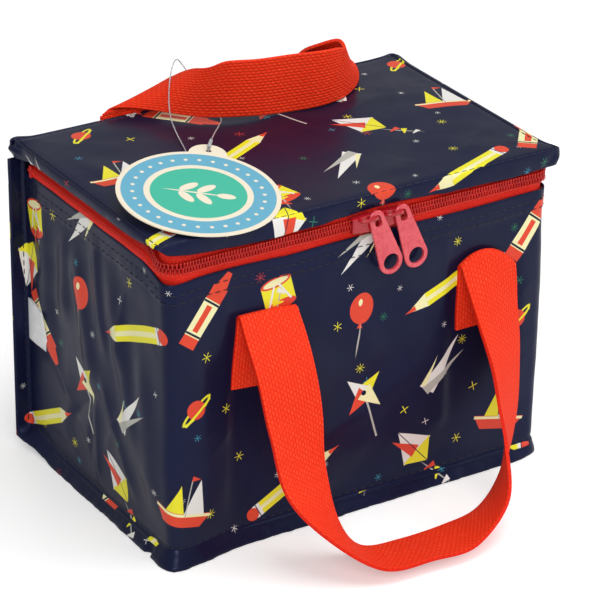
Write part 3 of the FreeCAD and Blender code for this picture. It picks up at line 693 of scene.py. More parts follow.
wallPlan, wallLength = planPath(
    [(-wall["halfWidth"] - wall["fin"], finLine), (-wall["halfWidth"], finLine),
     (-wall["halfWidth"], -wall["halfDepth"]), (wall["halfWidth"], -wall["halfDepth"]),
     (wall["halfWidth"], finLine), (wall["halfWidth"] + wall["fin"], finLine)],
    [0, wall["seamRadius"], wall["radius"], wall["radius"], wall["seamRadius"], 0])
leftEnd = wall["fin"] + 2 * wall["halfDepth"] - 6      # distance along the wall at the front left corner
rightStart = wallLength - leftEnd
middle = wallLength / 2

# folds of each panel: start and end as (distance along the wall, height), width, how far out, sharp or not
leftFolds = [
    ((26, 128), (31, 60), 7, 1.5, False), ((48, 124), (44, 84), 5, 1.2, False),
    ((58, 120), (74, 62), 6, 1.6, False), ((76, 130), (86, 84), 4, 1.2, False),
    ((90, 122), (116, 40), 7, 1.7, False), ((104, 118), (98, 84), 4, 0.9, True),
    ((118, 96), (126, 24), 6, 1.2, False), ((76, 58), (56, 39), 3, -1.0, True),
    ((77, 54), (78, 12), 4, 1.5, True), ((56, 40), (19, 17), 4, 0.9, True),
    ((84, 66), (110, 22), 5, 1.4, True), ((30, 62), (52, 44), 5, 1.0, True),
    ((100, 60), (86, 34), 4, 0.7, True), ((20, 100), (24, 70), 5, 0.8, False),
]
leftFacets = [(((77, 56), (56, 39), (70, 14)), 1.3), (((52, 40), (20, 18), (58, 14)), 0.9)]
frontFolds = [
    ((-92, 112), (-80, 20), 8, 1.1, False), ((-84, 50), (-30, 92), 5, 0.7, True),
    ((-72, 122), (-28, 60), 9, 1.0, False), ((-24, 40), (32, 66), 7, 0.8, False),
    ((-8, 120), (8, 70), 7, 0.9, False), ((24, 100), (52, 42), 8, 1.0, False),
    ((38, 30), (92, 54), 5, 0.7, True), ((90, 112), (86, 34), 8, 1.1, False),
    ((-62, 26), (-8, 16), 6, 0.7, True), ((58, 20), (96, 26), 5, 0.7, True),
    ((-98, 72), (-82, 62), 4, 0.6, True), ((94, 94), (78, 84), 5, 0.7, True),
    ((-30, 104), (6, 88), 4, 0.5, True), ((-4, 52), (24, 26), 5, 0.6, True),
]


def finGap(s):
    # how far a point lies in from the nearer fin
    return np.minimum(s, wallLength - s) - wall["fin"]


def underBand(x, centre):
    # 1 under a band of webbing sewn on over the cloth
    return smoothStep(np.abs(x - centre), 22, 15)


def handleCalm(s):
    # the wall lies flat under the sewn ends of the front handle
    calm = 1.0
    for centre in wall["handleX"]:
        calm = calm * (1 - 0.9 * underBand(s - middle, centre))
    return calm


def puckers(s, z, rows):
    # the cloth gathers in small waves along each row of stitches
    return sum(hump(z, row, 2.0) for row in rows) * (0.3 * ripple(s, z, 3.6, 41) - 0.16)


def wallBulge(s, z):
    # how far the sheet stands out from its plan, in mm: boards behind it let it sink only a little
    onSide = (s < leftEnd) | (s > rightStart)
    onFront = smoothStep(s, leftEnd - 2, leftEnd + 8) * smoothStep(s, rightStart + 2, rightStart - 8)
    onLeft = smoothStep(s, leftEnd + 9, leftEnd + 3)
    onRight = smoothStep(s, rightStart - 9, rightStart - 3)
    side = np.clip(np.where(s < middle, s, wallLength - s) / leftEnd, 0, 1)
    front = np.clip((s - leftEnd) / (rightStart - leftEnd), 0, 1)
    lift = np.sin(np.pi * np.clip((z - 6) / (wall["hem"] - 6), 0, 1)) ** 0.8
    out = lift * np.where(onSide, wall["sideSwell"] * np.sin(np.pi * side),
                          wall["frontSwell"] * np.sin(np.pi * front) ** 0.6)
    # the right side has the left side's folds, turned about, moved and softer
    turned, raised = (wallLength - s) * 0.96 + 4, z * 0.94 + 7
    out += wall["leftFolds"] * folded(s, z, leftFolds) * onLeft
    out += wall["rightFolds"] * folded(turned, raised, leftFolds) * onRight
    out += folded(s - middle, z, frontFolds) * onFront * handleCalm(s)
    for corners, height in leftFacets:
        out += facet(s, z, corners, height) * onLeft + 0.6 * facet(turned, raised, corners, height) * onRight
    calm = smoothStep(z, 4, 16) * smoothStep(z, wall["hem"] + 2, wall["hem"] - 12) * handleCalm(s)
    out += (0.75 * ripple(s, z * 0.24, 25.0, 3) * (1 - onFront) + 0.8 * ripple(s, z, 34.0, 1)
            + 0.25 * ripple(s, z, 11.0, 2)) * calm
    out += puckers(s, z, [wall["hem"] - drop for drop in wall["hemRows"]])
    atFin = smoothStep(finGap(s), 6, -1)
    out = above(out * (0.25 + 0.75 * calm) * (1 - 0.8 * atFin), -wall["sink"], 0.25)
    hemFoot = wall["hem"] - wall["hemDepth"]
    return out + 0.45 * smoothStep(z, hemFoot - 1.2, hemFoot)


def hemRise(s):
    # the hem stands higher along the left side, where the zip tucks up, and the fins rise to the lid
    left = smoothStep(s, leftEnd + 4, leftEnd - 18)
    front = np.sin(np.pi * np.clip((s - leftEnd - 14) / 50, 0, 1)) - 1.1 * hump(s, leftEnd + 7, 9)
    hemLine = wall["leftHemRise"] * left + front + 0.35 * np.sin(s / 17.0) * (1 - left)
    return hemLine + (wall["finRise"] - hemLine) * smoothStep(finGap(s), 1.6, 0.2)


def wallSurface(s, z, out=0.0):
    # a point of the bag's wall, with its skirt at the base and its folds
    spots, normals = wallPlan(s)
    fromFin = finGap(s)
    start = wall["stretchFrom"]
    stretch = (wall["hem"] + hemRise(s) - start) / (wall["hem"] - start)
    height = np.where(z > start, start + (z - start) * stretch, z)
    height = height + 1.2 * np.clip(-fromFin / wall["fin"], 0, 1) * ebb(z, 24)
    height = height + wall["backRise"] * smoothStep(fromFin, 34, 2) * ebb(z, 16)
    # the skirt flares at the fins and the front left corner, with a small tuck beside each front corner
    skirt = ebb(z, wall["skirtHigh"])
    crumple = 0.4 * ripple(s, z * 0.8, 5.5, 7) + 0.3 * ripple(s, z, 2.6, 17)
    swell = (0.45 * ripple(s, z * 0 + 5, 24.0, 6) + crumple) * skirt
    tuck = 3.0 * hump(s, leftEnd - 9, 1.3) + 2.2 * (hump(s, rightStart + 7, 1.3) + hump(s, rightStart - 4, 8))
    corner = wall["cornerPinch"] * np.exp(-np.abs(s - leftEnd - 4.0) / 3.2)
    flare = wall["skirtOut"] + wall["skirtFlare"] * smoothStep(fromFin, 30, 0) - tuck + corner
    skirtLean = flare * skirt + swell
    bulge = wallBulge(s, z)
    seamPinch = 0.35 * hump(z, wall["skirtHigh"], 1.1)
    reach = (bulge - seamPinch) * (1 - skirt) + skirtLean + out
    reach = reach * (0.2 + 0.8 * smoothStep(fromFin, -0.6, 2.6))
    reach = np.where(fromFin < -1, 0.3 * bulge + out, reach)
    # the front left edge leans forward towards the floor
    atEdge = smoothStep(s, leftEnd - 26, leftEnd + 4) * smoothStep(s, leftEnd + 44, leftEnd + 8)
    forward = wall["cornerLean"] * atEdge * ebb(z, wall["hem"])
    x, y = spots[:, 0] + normals[:, 0] * reach, spots[:, 1] + normals[:, 1] * reach - forward
    # at the floor the skirt runs straight out to the fin's edge
    cut = np.clip(1.15 - z / wall["skirtHigh"], 0, 1) * (fromFin < wall["finCut"])
    share = (fromFin + wall["fin"]) / (wall["finCut"] + wall["fin"])
    edge = wall["halfWidth"] + wall["fin"] + (skirtLean + out - wall["fin"]) * share
    x = x + (np.where(s < middle, -edge, edge) - x) * cut
    y = y + (finLine - wall["finCut"] * share - y) * cut
    return np.stack([x, y, height], 1)


shell = cloth("bagShell", 340, 104, lambda a, b: wallSurface(a * wallLength, b * wall["hem"]),
              lambda a, b: np.stack([a * wallLength, b * wall["hem"]], 1), "shell", wall["sheet"])
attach(shell, "bag")
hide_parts("wrap_panel")


# the back panel runs up past the hinge into the lid

back = {
    "height": lidHigh.z / mm - 1.2, "strapX": (-49, 64), "strapFoot": (70, 78), "folds": 0.8,
    "printAt": (37, 61), "printWide": 220,
}


def backSurface(a, b):
    x = (a - 0.5) * 2 * (wall["halfWidth"] + wall["fin"])
    z = b * back["height"]
    calm = smoothStep(z, 4, 16) * smoothStep(z, 140, 124) * smoothStep(np.abs(x), 108, 96)
    for centre in back["strapX"]:
        calm = calm * (1 - 0.9 * underBand(x, centre) * smoothStep(z, *back["strapFoot"]))
    swell = 1.6 * np.cos(np.clip(x / wall["halfWidth"], -1, 1) * np.pi / 2)
    swell = swell * np.sin(np.pi * np.clip(z / 140, 0, 1)) + back["folds"] * folded(-x, z, frontFolds)
    folds = (swell + ripple(x, z, 36.0, 8) + 0.35 * ripple(x, z, 11.0, 9)) * calm
    # above the hem the sheet narrows to the hinge between the fins
    narrow = smoothStep(z, wall["hem"] - 1, wall["hem"] + 1.5)
    edge = wall["halfWidth"] + wall["fin"] * (1 - narrow) - 0.6 * narrow
    x = np.clip(x, -edge, edge)
    far = np.abs(x)
    atFin = np.clip((far - wall["halfWidth"]) / wall["fin"], 0, 1)
    skirt = ebb(z, wall["skirtHigh"]) ** 0.9
    y = wall["halfDepth"] + folds + wall["skirtOut"] * skirt * smoothStep(far, wall["halfWidth"], 88)
    z = z + wall["backRise"] * smoothStep(far, wall["halfWidth"] - 30, wall["halfWidth"]) * ebb(z, 16)
    return np.stack([x, y, z + 1.2 * atFin * ebb(z, 24)], 1)


def backMarks(a, b):
    across, up = back["printAt"]
    return np.stack([(1 - a) * back["printWide"] + across, b * back["height"] + up], 1)


backCloth = cloth("backPanel", 180, 110, lambda a, b: backSurface(1 - a, b), backMarks, "shell",
                  wall["sheet"])
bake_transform(backCloth)
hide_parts("back_panel", "hinge_strip")


def finTip(name, side):
    # the back sheet's share of a fin, above the hem; both are laid from right to left, to face one way
    def outwards(a):
        return 1 - a if side > 0 else a

    def shape(a, b):
        x = side * (wall["halfWidth"] - 0.4 + (wall["fin"] + 0.4) * outwards(a))
        y = wall["halfDepth"] + 0.15 * np.sin(outwards(a) * 5 + b * 4)
        return np.stack([x, y, wall["hem"] - 1 + (wall["finRise"] + 1) * b], 1)

    def marks(a, b):
        across, up = back["printAt"]
        x = across + back["printWide"] / 2 - side * (wall["halfWidth"] + wall["fin"] * outwards(a))
        return np.stack([x, up + wall["hem"] + b * wall["finRise"]], 1)

    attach(cloth(name, 8, 10, shape, marks, "shell", wall["sheet"]), "bag")


finTip("finTipLeft", -1)
finTip("finTipRight", 1)


# the base: flat where it stands, rising to the seam, with its own leaf under the skirt

base = {"sheet": 0.5, "out": 1.6, "corner": 10.0, "belowSeam": 1.2, "leaf": 1.2, "leafDrop": 1.6, "sag": 0.15}


def baseSurface(a, b):
    halfX, halfY = wall["halfWidth"] + base["out"], wall["halfDepth"] + base["out"]
    x = (a - 0.5) * 2 * halfX
    y = (b - 0.5) * 2 * halfY
    margin = np.minimum(halfX - np.abs(x), halfY - np.abs(y))
    # the corners are rounded to lie inside the skirt
    corner = base["corner"]
    inX, inY = halfX - corner, halfY - corner
    across = np.clip((np.abs(x) - inX) / corner, 0, 1)
    deep = np.clip((np.abs(y) - inY) / corner, 0, 1)
    x = np.where(across > 0, np.sign(x) * (inX + corner * across * np.sqrt(1 - deep ** 2 / 2)), x)
    y = np.where(deep > 0, np.sign(y) * (inY + corner * deep * np.sqrt(1 - across ** 2 / 2)), y)
    z = (wall["skirtHigh"] - base["belowSeam"]) * smoothStep(margin, 16, 1.0)
    z = np.where(margin < base["leaf"], z - base["leafDrop"], z)
    return np.stack([x, y, z + base["sag"] * (1 - smoothStep(margin, 22, 14))], 1)


baseCloth = cloth("basePanel", 130, 90, lambda a, b: baseSurface(1 - a, b),
                  lambda a, b: np.stack([a * 208, b * 137 + 12], 1), "shell", base["sheet"])
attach(baseCloth, "bag")
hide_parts("base_panel")
print("walls, back and base sewn")


# the lid: a soft top sewn to its turned-down rim

lid = {
    "halfWidth": lidHigh.x / mm, "halfDepth": lidHigh.y / mm, "top": lidHigh.z / mm, "rim": lidLow.z / mm,
    "radii": (3.0, 4.5, 1.8, 5.5), "seam": 1.3, "groove": 0.6, "leftRimUp": 2.9, "rightRimDown": 0.8,
    "cornerUp": 3.6, "frontRimDown": 1.0, "backCornerDown": 1.6, "ear": 3.4, "tuck": 1.1,
    "inset": {"left": 0.3, "front": 0.3, "right": 3.8, "back": 2.0},  # how far the seam lies inside the rim
    "rimShare": 0.25,  # the share of a row that is rim
    "spineStep": 2.5, "printAt": (230, 170),
}
lidFolds = [
    ((20, -60), (70, -12), 7, 0.55, False), ((84, 40), (60, -6), 6, 0.5, True),
    ((-20, -64), (-50, -22), 7, 0.5, False), ((96, -30), (62, -52), 5, 0.5, True),
    ((20, 10), (66, 24), 6, 0.4, True), ((-96, 30), (-76, -26), 6, 0.5, False),
]
backLeft, backRight = (-lid["halfWidth"], lid["halfDepth"]), (lid["halfWidth"], lid["halfDepth"])
frontLeft, frontRight = (-lid["halfWidth"], -lid["halfDepth"]), (lid["halfWidth"], -lid["halfDepth"])
lidPlan, lidLength = planPath([backLeft, frontLeft, frontRight, backRight], lid["radii"], closed=True)


def nearCorner(x, y, reach, *corners):
    near = np.zeros_like(x)
    for cx, cy in corners:
        near = np.maximum(near, np.exp(-((x - cx) ** 2 + (y - cy) ** 2) / reach ** 2))
    return near


def lidFold(x, y):
    # how the soft top rises and falls
    inner = smoothStep(np.minimum(lid["halfWidth"] - np.abs(x), lid["halfDepth"] - np.abs(y)), 3, 22)
    calm = 1 - smoothStep(y, 30, 56) * smoothStep(np.abs(x - 8), 74, 60) * 0.8
    swell = 0.5 * ripple(x, y, 46.0, 12) + 0.22 * ripple(x, y, 15.0, 13)
    return above((swell + folded(x, y, lidFolds)) * inner * calm, -0.1, 0.1) + 0.3 * inner


def lidInset(x, y, normals):
    across, deep = normals[:, 0], normals[:, 1]
    ways = {"left": -across, "right": across, "front": -deep, "back": deep}
    inset = sum(lid["inset"][side] * np.clip(way, 0, 1) ** 2 for side, way in ways.items())
    return inset * (1 - 0.9 * nearCorner(x, y, 9.0, frontRight))


def rimEdge(x, y, front, right):
    # the height of the rim's lower edge
    left = smoothStep(-x, lid["halfWidth"] - 6, lid["halfWidth"]) * smoothStep(-y, -66, -40)
    edge = lid["rim"] + lid["leftRimUp"] * left - lid["rightRimDown"] * right * front
    edge = edge + front * (0.5 * np.sin(x / 19 + 1.0) + 0.35 * np.sin(x / 7.3))
    edge = edge - lid["frontRimDown"] * front * smoothStep(np.abs(x - 10), 24, 36)
    edge = edge + lid["cornerUp"] * nearCorner(x, y, 17.0, frontLeft)
    return edge - lid["backCornerDown"] * nearCorner(x, y, 9.0, backLeft)


def lidSurface(s, t):
    # t runs from the rim's lower edge (0) over the seam to the middle of the top (1)
    spots, normals = lidPlan(s)
    x, y = spots[:, 0], spots[:, 1]
    inset = lidInset(x, y, normals)
    right = smoothStep(x, lid["halfWidth"] - 40, lid["halfWidth"])
    front = smoothStep(-y, lid["halfDepth"] - 2, lid["halfDepth"])
    rimAt = rimEdge(x, y, front, right)
    down = ebb(t, lid["rimShare"])
    inward = np.clip((t - lid["rimShare"]) / (1 - lid["rimShare"]), 0, 1)
    # the rim waves, bunches at its corners, flares below the seam and has an ear at the back left
    bunch = 2.6 * nearCorner(x, y, 13.0, backLeft, backRight)
    rough = ripple(s, t * 30, 5.0, 21) * (bunch + 1.5 * nearCorner(x, y, 9.0, frontLeft, frontRight))
    wave = 0.7 * ripple(s, t * 0, 30.0, 22) + 0.4 * ripple(s, t * 16, 8.0, 23)
    flare = -inset * (1 - 0.7 * smoothStep(down, 0, 0.2) - 0.3 * smoothStep(down, 0.1, 1.0))
    ear = lid["ear"] * nearCorner(x, y, 8.0, backLeft) * np.sin(np.pi * down ** 0.7)
    ear = ear * (0.6 + 0.8 * ripple(s, t * 40, 4.0, 31))
    tuck = lid["tuck"] * nearCorner(x, y, 9.0, frontRight) * smoothStep(down, 0.2, 1.0)
    out = np.where(inward == 0, wave * down + 0.3 * np.sin(np.pi * down) + rough * down ** 0.5, 0.0) + flare
    out = np.where(inward > 0, -inset, out + ear - tuck)
    topEdge = lid["top"] - 0.35
    slope = 0.05 + 0.07 * right
    drop = slope * smoothStep(down, 0, 0.2) + (1 - slope) * np.clip((down - 0.1) / 0.9, 0, 1) ** 1.1
    edgeLift = 0.25 * smoothStep(down, 0.25, 0.0)
    rise = np.where(inward == 0, topEdge - (topEdge - rimAt) * drop + edgeLift, topEdge + 0.25)
    px, py = x + normals[:, 0] * out, y + normals[:, 1] * out
    # the top shrinks to the lid's long middle line, where both halves share their points
    spine = lid["halfWidth"] - lid["halfDepth"]
    px = px + (np.clip(px, -spine, spine) - px) * inward
    px = np.where(inward > 0.9999, np.round(px / lid["spineStep"]) * lid["spineStep"], px)
    py = np.where(inward > 0.9999, 0.0, py * (1 - inward))
    margin = inward * (lid["halfDepth"] - inset)
    seam = -lid["groove"] * hump(margin, lid["seam"], 0.55) + 0.2 * smoothStep(margin, 1.6, 5)
    rise = rise + np.where(inward > 0, seam + lidFold(px, py), 0.0)
    crumple = (1.0 + 1.4 * ripple(px, py, 6.0, 27)) * nearCorner(px, py, 9.0, backLeft, backRight)
    return np.stack([px, py, rise + crumple * smoothStep(margin, 14, 2)], 1)


def lidMarks(s, t):
    # the print runs on from the top down the rim
    spots = lidSurface(s, t)
    edge, normals = lidPlan(s)
    drop = ebb(t, lid["rimShare"]) * (lid["top"] - lid["rim"])
    onRim = (t < lid["rimShare"])[:, None]
    return np.where(onRim, edge + normals * drop[:, None], spots[:, :2]) + np.array(lid["printAt"])


def lidRows(b):
    # close rows over the rim and seam, wider ones across the top
    return np.interp(b, [0, 0.3, 0.5, 1], [0, lid["rimShare"], 0.295, 1])


lidCloth = cloth("lidTop", 420, 84, lambda a, b: lidSurface(a * lidLength, lidRows(b)),
                 lambda a, b: lidMarks(a * lidLength, lidRows(b)), "shell", wall["sheet"])
welded = bmesh.new()
welded.from_mesh(lidCloth.data)
bmesh.ops.remove_doubles(welded, verts=welded.verts, dist=0.02 * mm)
bmesh.ops.recalc_face_normals(welded, faces=welded.faces)
welded.to_mesh(lidCloth.data)
welded.free()
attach(lidCloth, "lid")
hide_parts("lid_panel")
print("lid sewn")


# webbing

def ribbonFrame(rows, share):
    # the middle, across vector, cupping and length of a band at each share of its way round
    points = np.array([row[0] for row in rows], float)
    acrosses = np.array([row[1] for row in rows], float)
    cups = np.array([[row[2] if len(row) > 2 else 0.0] for row in rows])
    knots = np.concatenate([[0], np.cumsum(np.linalg.norm(np.diff(points, axis=0), axis=1))])
    place = np.clip(share, 0, 1) * knots[-1]
    span = np.clip(np.searchsorted(knots, place, side="right") - 1, 0, len(knots) - 2)
    before, after = np.maximum(span - 1, 0), np.minimum(span + 2, len(knots) - 1)
    width = knots[span + 1] - knots[span]
    t = ((place - knots[span]) / width)[:, None]
    found = []
    for values in (points, acrosses, cups):
        first = (values[span + 1] - values[before]) * (width / (knots[span + 1] - knots[before]))[:, None]
        second = (values[after] - values[span]) * (width / (knots[after] - knots[span]))[:, None]
        ease = 3 * t ** 2 - 2 * t ** 3
        found.append(values[span] * (1 - ease) + values[span + 1] * ease
                     + first * (t ** 3 - 2 * t ** 2 + t) + second * (t ** 3 - t ** 2))
    return found[0], found[1], found[2][:, 0], knots[-1]


web = {"width": 30.0, "thickness": 1.6, "selvedge": 0.5, "wobble": 0.18}


def webbing(name, rows, columns):
    length = ribbonFrame(rows, np.array([0.0]))[3]

    def place(a, b):
        middles, acrosses, cups, _ = ribbonFrame(rows, a)
        wobble = web["wobble"] * np.sin(a * length / 6.1) * np.where(b > 0.5, 1, -1)
        across = (b - 0.5) * web["width"] + wobble * np.abs(b - 0.5) * 2
        drop = np.stack([a * 0, a * 0, cups * (2 * b - 1) ** 2], 1)
        return middles + acrosses * across[:, None] - drop

    band = cloth(name, columns, 14, place, lambda a, b: np.stack([b * web["width"], a * length], 1),
                 "webbing", web["thickness"], 0.0)
    roundEdges(band, web["selvedge"], 3)
    return band


# each row: the middle of the band, the way across it, and how far its edges droop
frontLoop = [
    ((-55.2, -67.9, 79.3), (0.995, 0, -0.09)), ((-53.6, -67.9, 97), (0.995, 0, -0.09)),
    ((-52.2, -67.85, 112.6), (0.997, 0, -0.07)), ((-52, -68.3, 115.0), (0.998, 0, -0.06), 0.4),
    ((-52, -69.4, 116.1), (0.998, 0, -0.06), 0.5), ((-52, -70.8, 114.9), (0.998, 0, -0.05), 0.4),
    ((-51, -84, 91), (1, 0, 0)), ((-49, -90, 66), (0.99, 0.14, 0)), ((-48, -97, 41), (0.92, 0.38, 0)),
    ((-41, -109, 20), (0.65, 0.70, -0.25)), ((-26, -119, 6), (0.2, 0.96, -0.15)),
    ((-2, -121, 4), (0, 0.98, -0.17)), ((21, -121, 4.5), (0, 0.98, -0.18)),
    ((43, -116, 12), (0.05, 0.82, -0.55)), ((58, -103, 26), (0.36, 0.57, -0.73)),
    ((68, -90, 44), (0.71, 0.52, -0.47)),
    ((71, -82, 67), (0.86, 0.47, -0.17), 0.5), ((69.2, -76, 92), (0.96, 0.27, -0.08), 3.0),
    ((67.4, -70.8, 116.2), (1, 0, -0.16), 7.0), ((67.4, -69.4, 117.4), (1, 0, -0.18), 7.6),
    ((67.4, -68.3, 116.3), (1, 0, -0.18), 7.4), ((67.3, -67.85, 113.6), (1, 0, -0.16), 6.6),
    ((67, -67.9, 97), (1, 0, -0.02), 1.5), ((67, -67.9, 79), (1, 0, 0)),
]
frontHandle = webbing("frontHandle", frontLoop, 380)
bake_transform(frontHandle)
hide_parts("front_handle", "front_handle_end_left", "front_handle_end_right")

backLoop = [
    ((-43.5, 69.9, 160.9), (1.0, 0.0, 0.0)), ((-40.5, 69.2, 166.5), (0.9, -0.02, 0.23)),
    ((-34.8, 63.3, 170.3), (0.79, -0.15, 0.44)), ((-29.5, 54.8, 173.2), (0.63, -0.25, 0.65)),
    ((-23.1, 43, 175.4), (0.31, -0.2, 0.8)), ((-13.9, 34.8, 177.4), (0.1, -0.13, 0.94)),
    ((3, 29.8, 176.7), (0.03, -0.07, 0.97)), ((20.2, 28.8, 175.6), (0.02, -0.08, 0.97)),
    ((36.8, 26.6, 175.5), (-0.02, -0.1, 0.97)), ((48, 28.8, 175.1), (-0.2, -0.15, 0.93)),
    ((57, 34.5, 174.2), (-0.4, -0.3, 0.85)), ((62.2, 44, 174.4), (-0.58, -0.27, 0.84)),
    ((62.2, 53.8, 172.5), (-0.88, -0.25, 0.63)), ((61, 63.5, 168.9), (-1.0, -0.17, 0.37)),
    ((59.5, 69.9, 160.9), (-1.0, 0.0, 0.0)),
]
backHandle = webbing("backHandle", backLoop, 260)
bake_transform(backHandle)
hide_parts("back_handle")

for side, foot, head in (("Left", -49.0, -44.5), ("Right", 64.0, 59.5)):
    middles = [(foot, 68.1, 79), (foot, 68.1, 112), (foot * 0.7 + head * 0.3, 68.2, 138),
               (head, 69.9, 151.5), (head, 69.9, 160.6)]
    strap = webbing("backStrap" + side, [(spot, (1, 0, 0)) for spot in middles], 70)
    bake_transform(strap)
    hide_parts("back_handle_end_" + side.lower(), "back_handle_riser_" + side.lower())
print("webbing laid")


# the zip: tapes, coils and stops; along the left side it tucks up under the lid

zipPlaces = {
    "inset": 0.6, "radius": 7.4, "plane": 147.0, "lift": 4.6, "tape": 0.7,
    "end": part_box("lower_zip_tape")[1].y / mm, "pitch": 1.5, "tooth": (0.9, 2.0, 3.1),
    "toothRound": 0.4, "fromPlane": 1.2, "proud": 1.1,
}
tapes = {
    "lowerTape": (129.0, 146.8, "bag", "lower_zip_tape"),
    "upperTape": (147.2, 158.6, "lid", "upper_zip_tape"),
}
zipX, zipY = wall["halfWidth"] - zipPlaces["inset"], wall["halfDepth"] - zipPlaces["inset"]
zipPlan, zipLength = planPath(
    [(-zipX, zipPlaces["end"]), (-zipX, -zipY), (zipX, -zipY), (zipX, zipPlaces["end"])],
    [0, zipPlaces["radius"], zipPlaces["radius"], 0])
zipLeft = zipPlaces["end"] + wall["halfDepth"] - 4


def zipSurface(s, z, out=0.0):
    # along the left side the tape bows out, tucks in under the rim and stands higher
    spots, normals = zipPlan(s)
    left = smoothStep(s, zipLeft + 2, zipLeft - 16)
    bulge = left * (2.0 * hump(z, 142.6, 2.6) - 2.8 * smoothStep(z, 143.0, 146.5) * smoothStep(z, 157, 152))
    corner = hump(s, zipLeft + 4, 13) * smoothStep(z, 140.3, 141.5) * smoothStep(z, 145.5, 143.5)
    bulge = bulge + corner * (0.5 + 0.35 * np.cos((z - 140.6) * math.tau / 1.5))
    reach = out + bulge + 0.12 * np.sin(s / 5.0)
    lift = zipPlaces["lift"] * smoothStep(s, zipLeft + 1, zipLeft - 17)
    lift = lift * smoothStep(z, 132, 142) * smoothStep(z, 158.6, 151)
    return np.stack([spots[:, 0] + normals[:, 0] * reach, spots[:, 1] + normals[:, 1] * reach, z + lift], 1)


for name, (low, high, body, node) in tapes.items():
    tape = cloth(name, 300, 12, lambda a, b: zipSurface(a * zipLength, low + b * (high - low)),
                 lambda a, b: np.stack([b * (high - low), a * zipLength], 1), "tape",
                 zipPlaces["tape"])
    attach(tape, body)
    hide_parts(node)


def coilTooth():
    # one turn of the coil: a flat loop, rounded all over
    bm = bmesh.new()
    bmesh.ops.create_cube(bm, size=1.0, matrix=Matrix.Diagonal((*zipPlaces["tooth"], 1)))
    bmesh.ops.bevel(bm, geom=bm.verts[:] + bm.edges[:], offset=zipPlaces["toothRound"], segments=2,
                    profile=0.5, affect="EDGES", material=-1)
    return bm


def strewn(name, template, spots, ways, outs, material, slotName):
    # one small piece repeated: its X runs along the way and its -Y points outwards
    bm = bmesh.new()
    source = bpy.data.meshes.new(name + "One")
    template.to_mesh(source)
    template.free()
    for spot, way, out in zip(spots, ways, outs):
        start = len(bm.verts)
        bm.from_mesh(source)
        bm.verts.ensure_lookup_table()
        x = Vector(way).normalized()
        y = -Vector(out).normalized()
        z = x.cross(y).normalized()
        turn = Matrix((x, y, z)).transposed().to_4x4()
        place = Matrix.Translation(Vector(spot) * mm) @ turn @ Matrix.Scale(mm, 4)
        bmesh.ops.transform(bm, matrix=place, verts=bm.verts[start:])
    bpy.data.meshes.remove(source)
    return finish(name, bm, material)


def along(surface, s, z, out):
    # spots on a surface with the way along it and the way out of it
    here = surface(s, z, out)
    ahead = surface(s + 0.6, z, out) - surface(s - 0.6, z, out)
    normal = surface(s, z, out + 1.0) - here
    return here, ahead, normal


for name, way, body, node in (("lowerCoil", -1, "bag", "lower_zip_teeth"),
                              ("upperCoil", 1, "lid", "upper_zip_teeth")):
    # the two rows mesh half a pitch apart
    shift = zipPlaces["pitch"] / 2 if way > 0 else 0.0
    distance = np.arange(4.5, zipLength - 4.0, zipPlaces["pitch"]) + shift
    height = np.full_like(distance, zipPlaces["plane"] + way * zipPlaces["fromPlane"])
    spots, ways, outs = along(zipSurface, distance, height, zipPlaces["proud"])
    coil = strewn(name, coilTooth(), spots, ways, outs, "coil", "zip_coil")
    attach(coil, body)
    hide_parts(node)


def stitchShape(length, width):
    bm = bmesh.new()
    bmesh.ops.create_icosphere(bm, subdivisions=1, radius=0.5,
                               matrix=Matrix.Diagonal((length, 0.5, width, 1)))
    return bm


def stitches(name, surface, span, z, step, body, out, width, look=("navyStitch", "thread")):
    # step is the pitch of the row and the length of one stitch, look its finish and a slot name that is not
    # used
    s = np.arange(*span, step[0])
    spots, ways, outs = along(surface, s, np.full_like(s, z), out)
    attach(strewn(name, stitchShape(step[1], width), spots, ways, outs, *look), body)


coilThreads = {"lower": ("bag", 144.6, 143.2), "upper": ("lid", 149.5, 150.9)}
for half, (body, *heights) in coilThreads.items():
    for number, (z, step, out) in enumerate(zip(heights, ((1.5, 1.1), (2.6, 1.9)), (2.3, 0.1))):
        stitches(half + "CoilThread" + str(number), zipSurface, (5, zipLength - 4), z, step, body, out, 0.4,
                 ("redStitch", "zip_tape"))
seamSpan = (wall["fin"] + 2, wallLength - wall["fin"] - 2)
for number, drop in enumerate(wall["hemRows"]):
    stitches("hemStitches" + str(number), wallSurface, seamSpan, wall["hem"] - drop, (4.4, 3.5), "bag",
             0.05, 0.55)
stitches("skirtStitches", wallSurface, seamSpan, wall["skirtHigh"] + 0.4, (4.6, 3.7), "bag", 0.05, 0.6)


def finSurface(s, side, out=0.0):
    # the face of a back seam towards the front: s runs up it
    return np.stack([side * (wall["halfWidth"] + wall["finStitch"]), np.full_like(s, finLine - out), s], 1)


def lidSeam(s, z, out=0.0):
    rimShare = lid["rimShare"]
    spots = lidSurface(s, np.full_like(s, rimShare + (1 - rimShare) * lid["seam"] / lid["halfDepth"]))
    return spots + np.array([0, 0, 1.0]) * out


for name, side in (("leftFinStitches", -1.0), ("rightFinStitches", 1.0)):
    stitches(name, finSurface, (9, wall["hem"] - 2), side, (4.6, 3.7), "bag", 0.1, 0.6)
stitches("lidSeamStitches", lidSeam, (0, lidLength), 0.0, (4.4, 3.5), "lid", 0.15, 0.6)
print("zip and stitches laid")


# finishes of the carried parts: sliders, pulls, stops, linings, foam and the thread's barb

carried = {
    "slider": ("left_slider", "right_slider"), "pull": ("left_pull", "right_pull"),
    "coil": ("lower_zip_stops", "upper_zip_stops"), "foil": ("foil_lining", "lid_lining"),
    "foam": ("foam_front", "foam_back", "foam_left", "foam_right", "foam_base", "lid_foam"),
    "thread": ("thread_barb",),
}
for finishName, nodes in carried.items():
    for node in nodes:
        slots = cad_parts[node].data.materials
        slots.clear()
        slots.append(finishes[finishName])


# the side label: a folded woven strip caught in the back left seam, its upper corner standing off

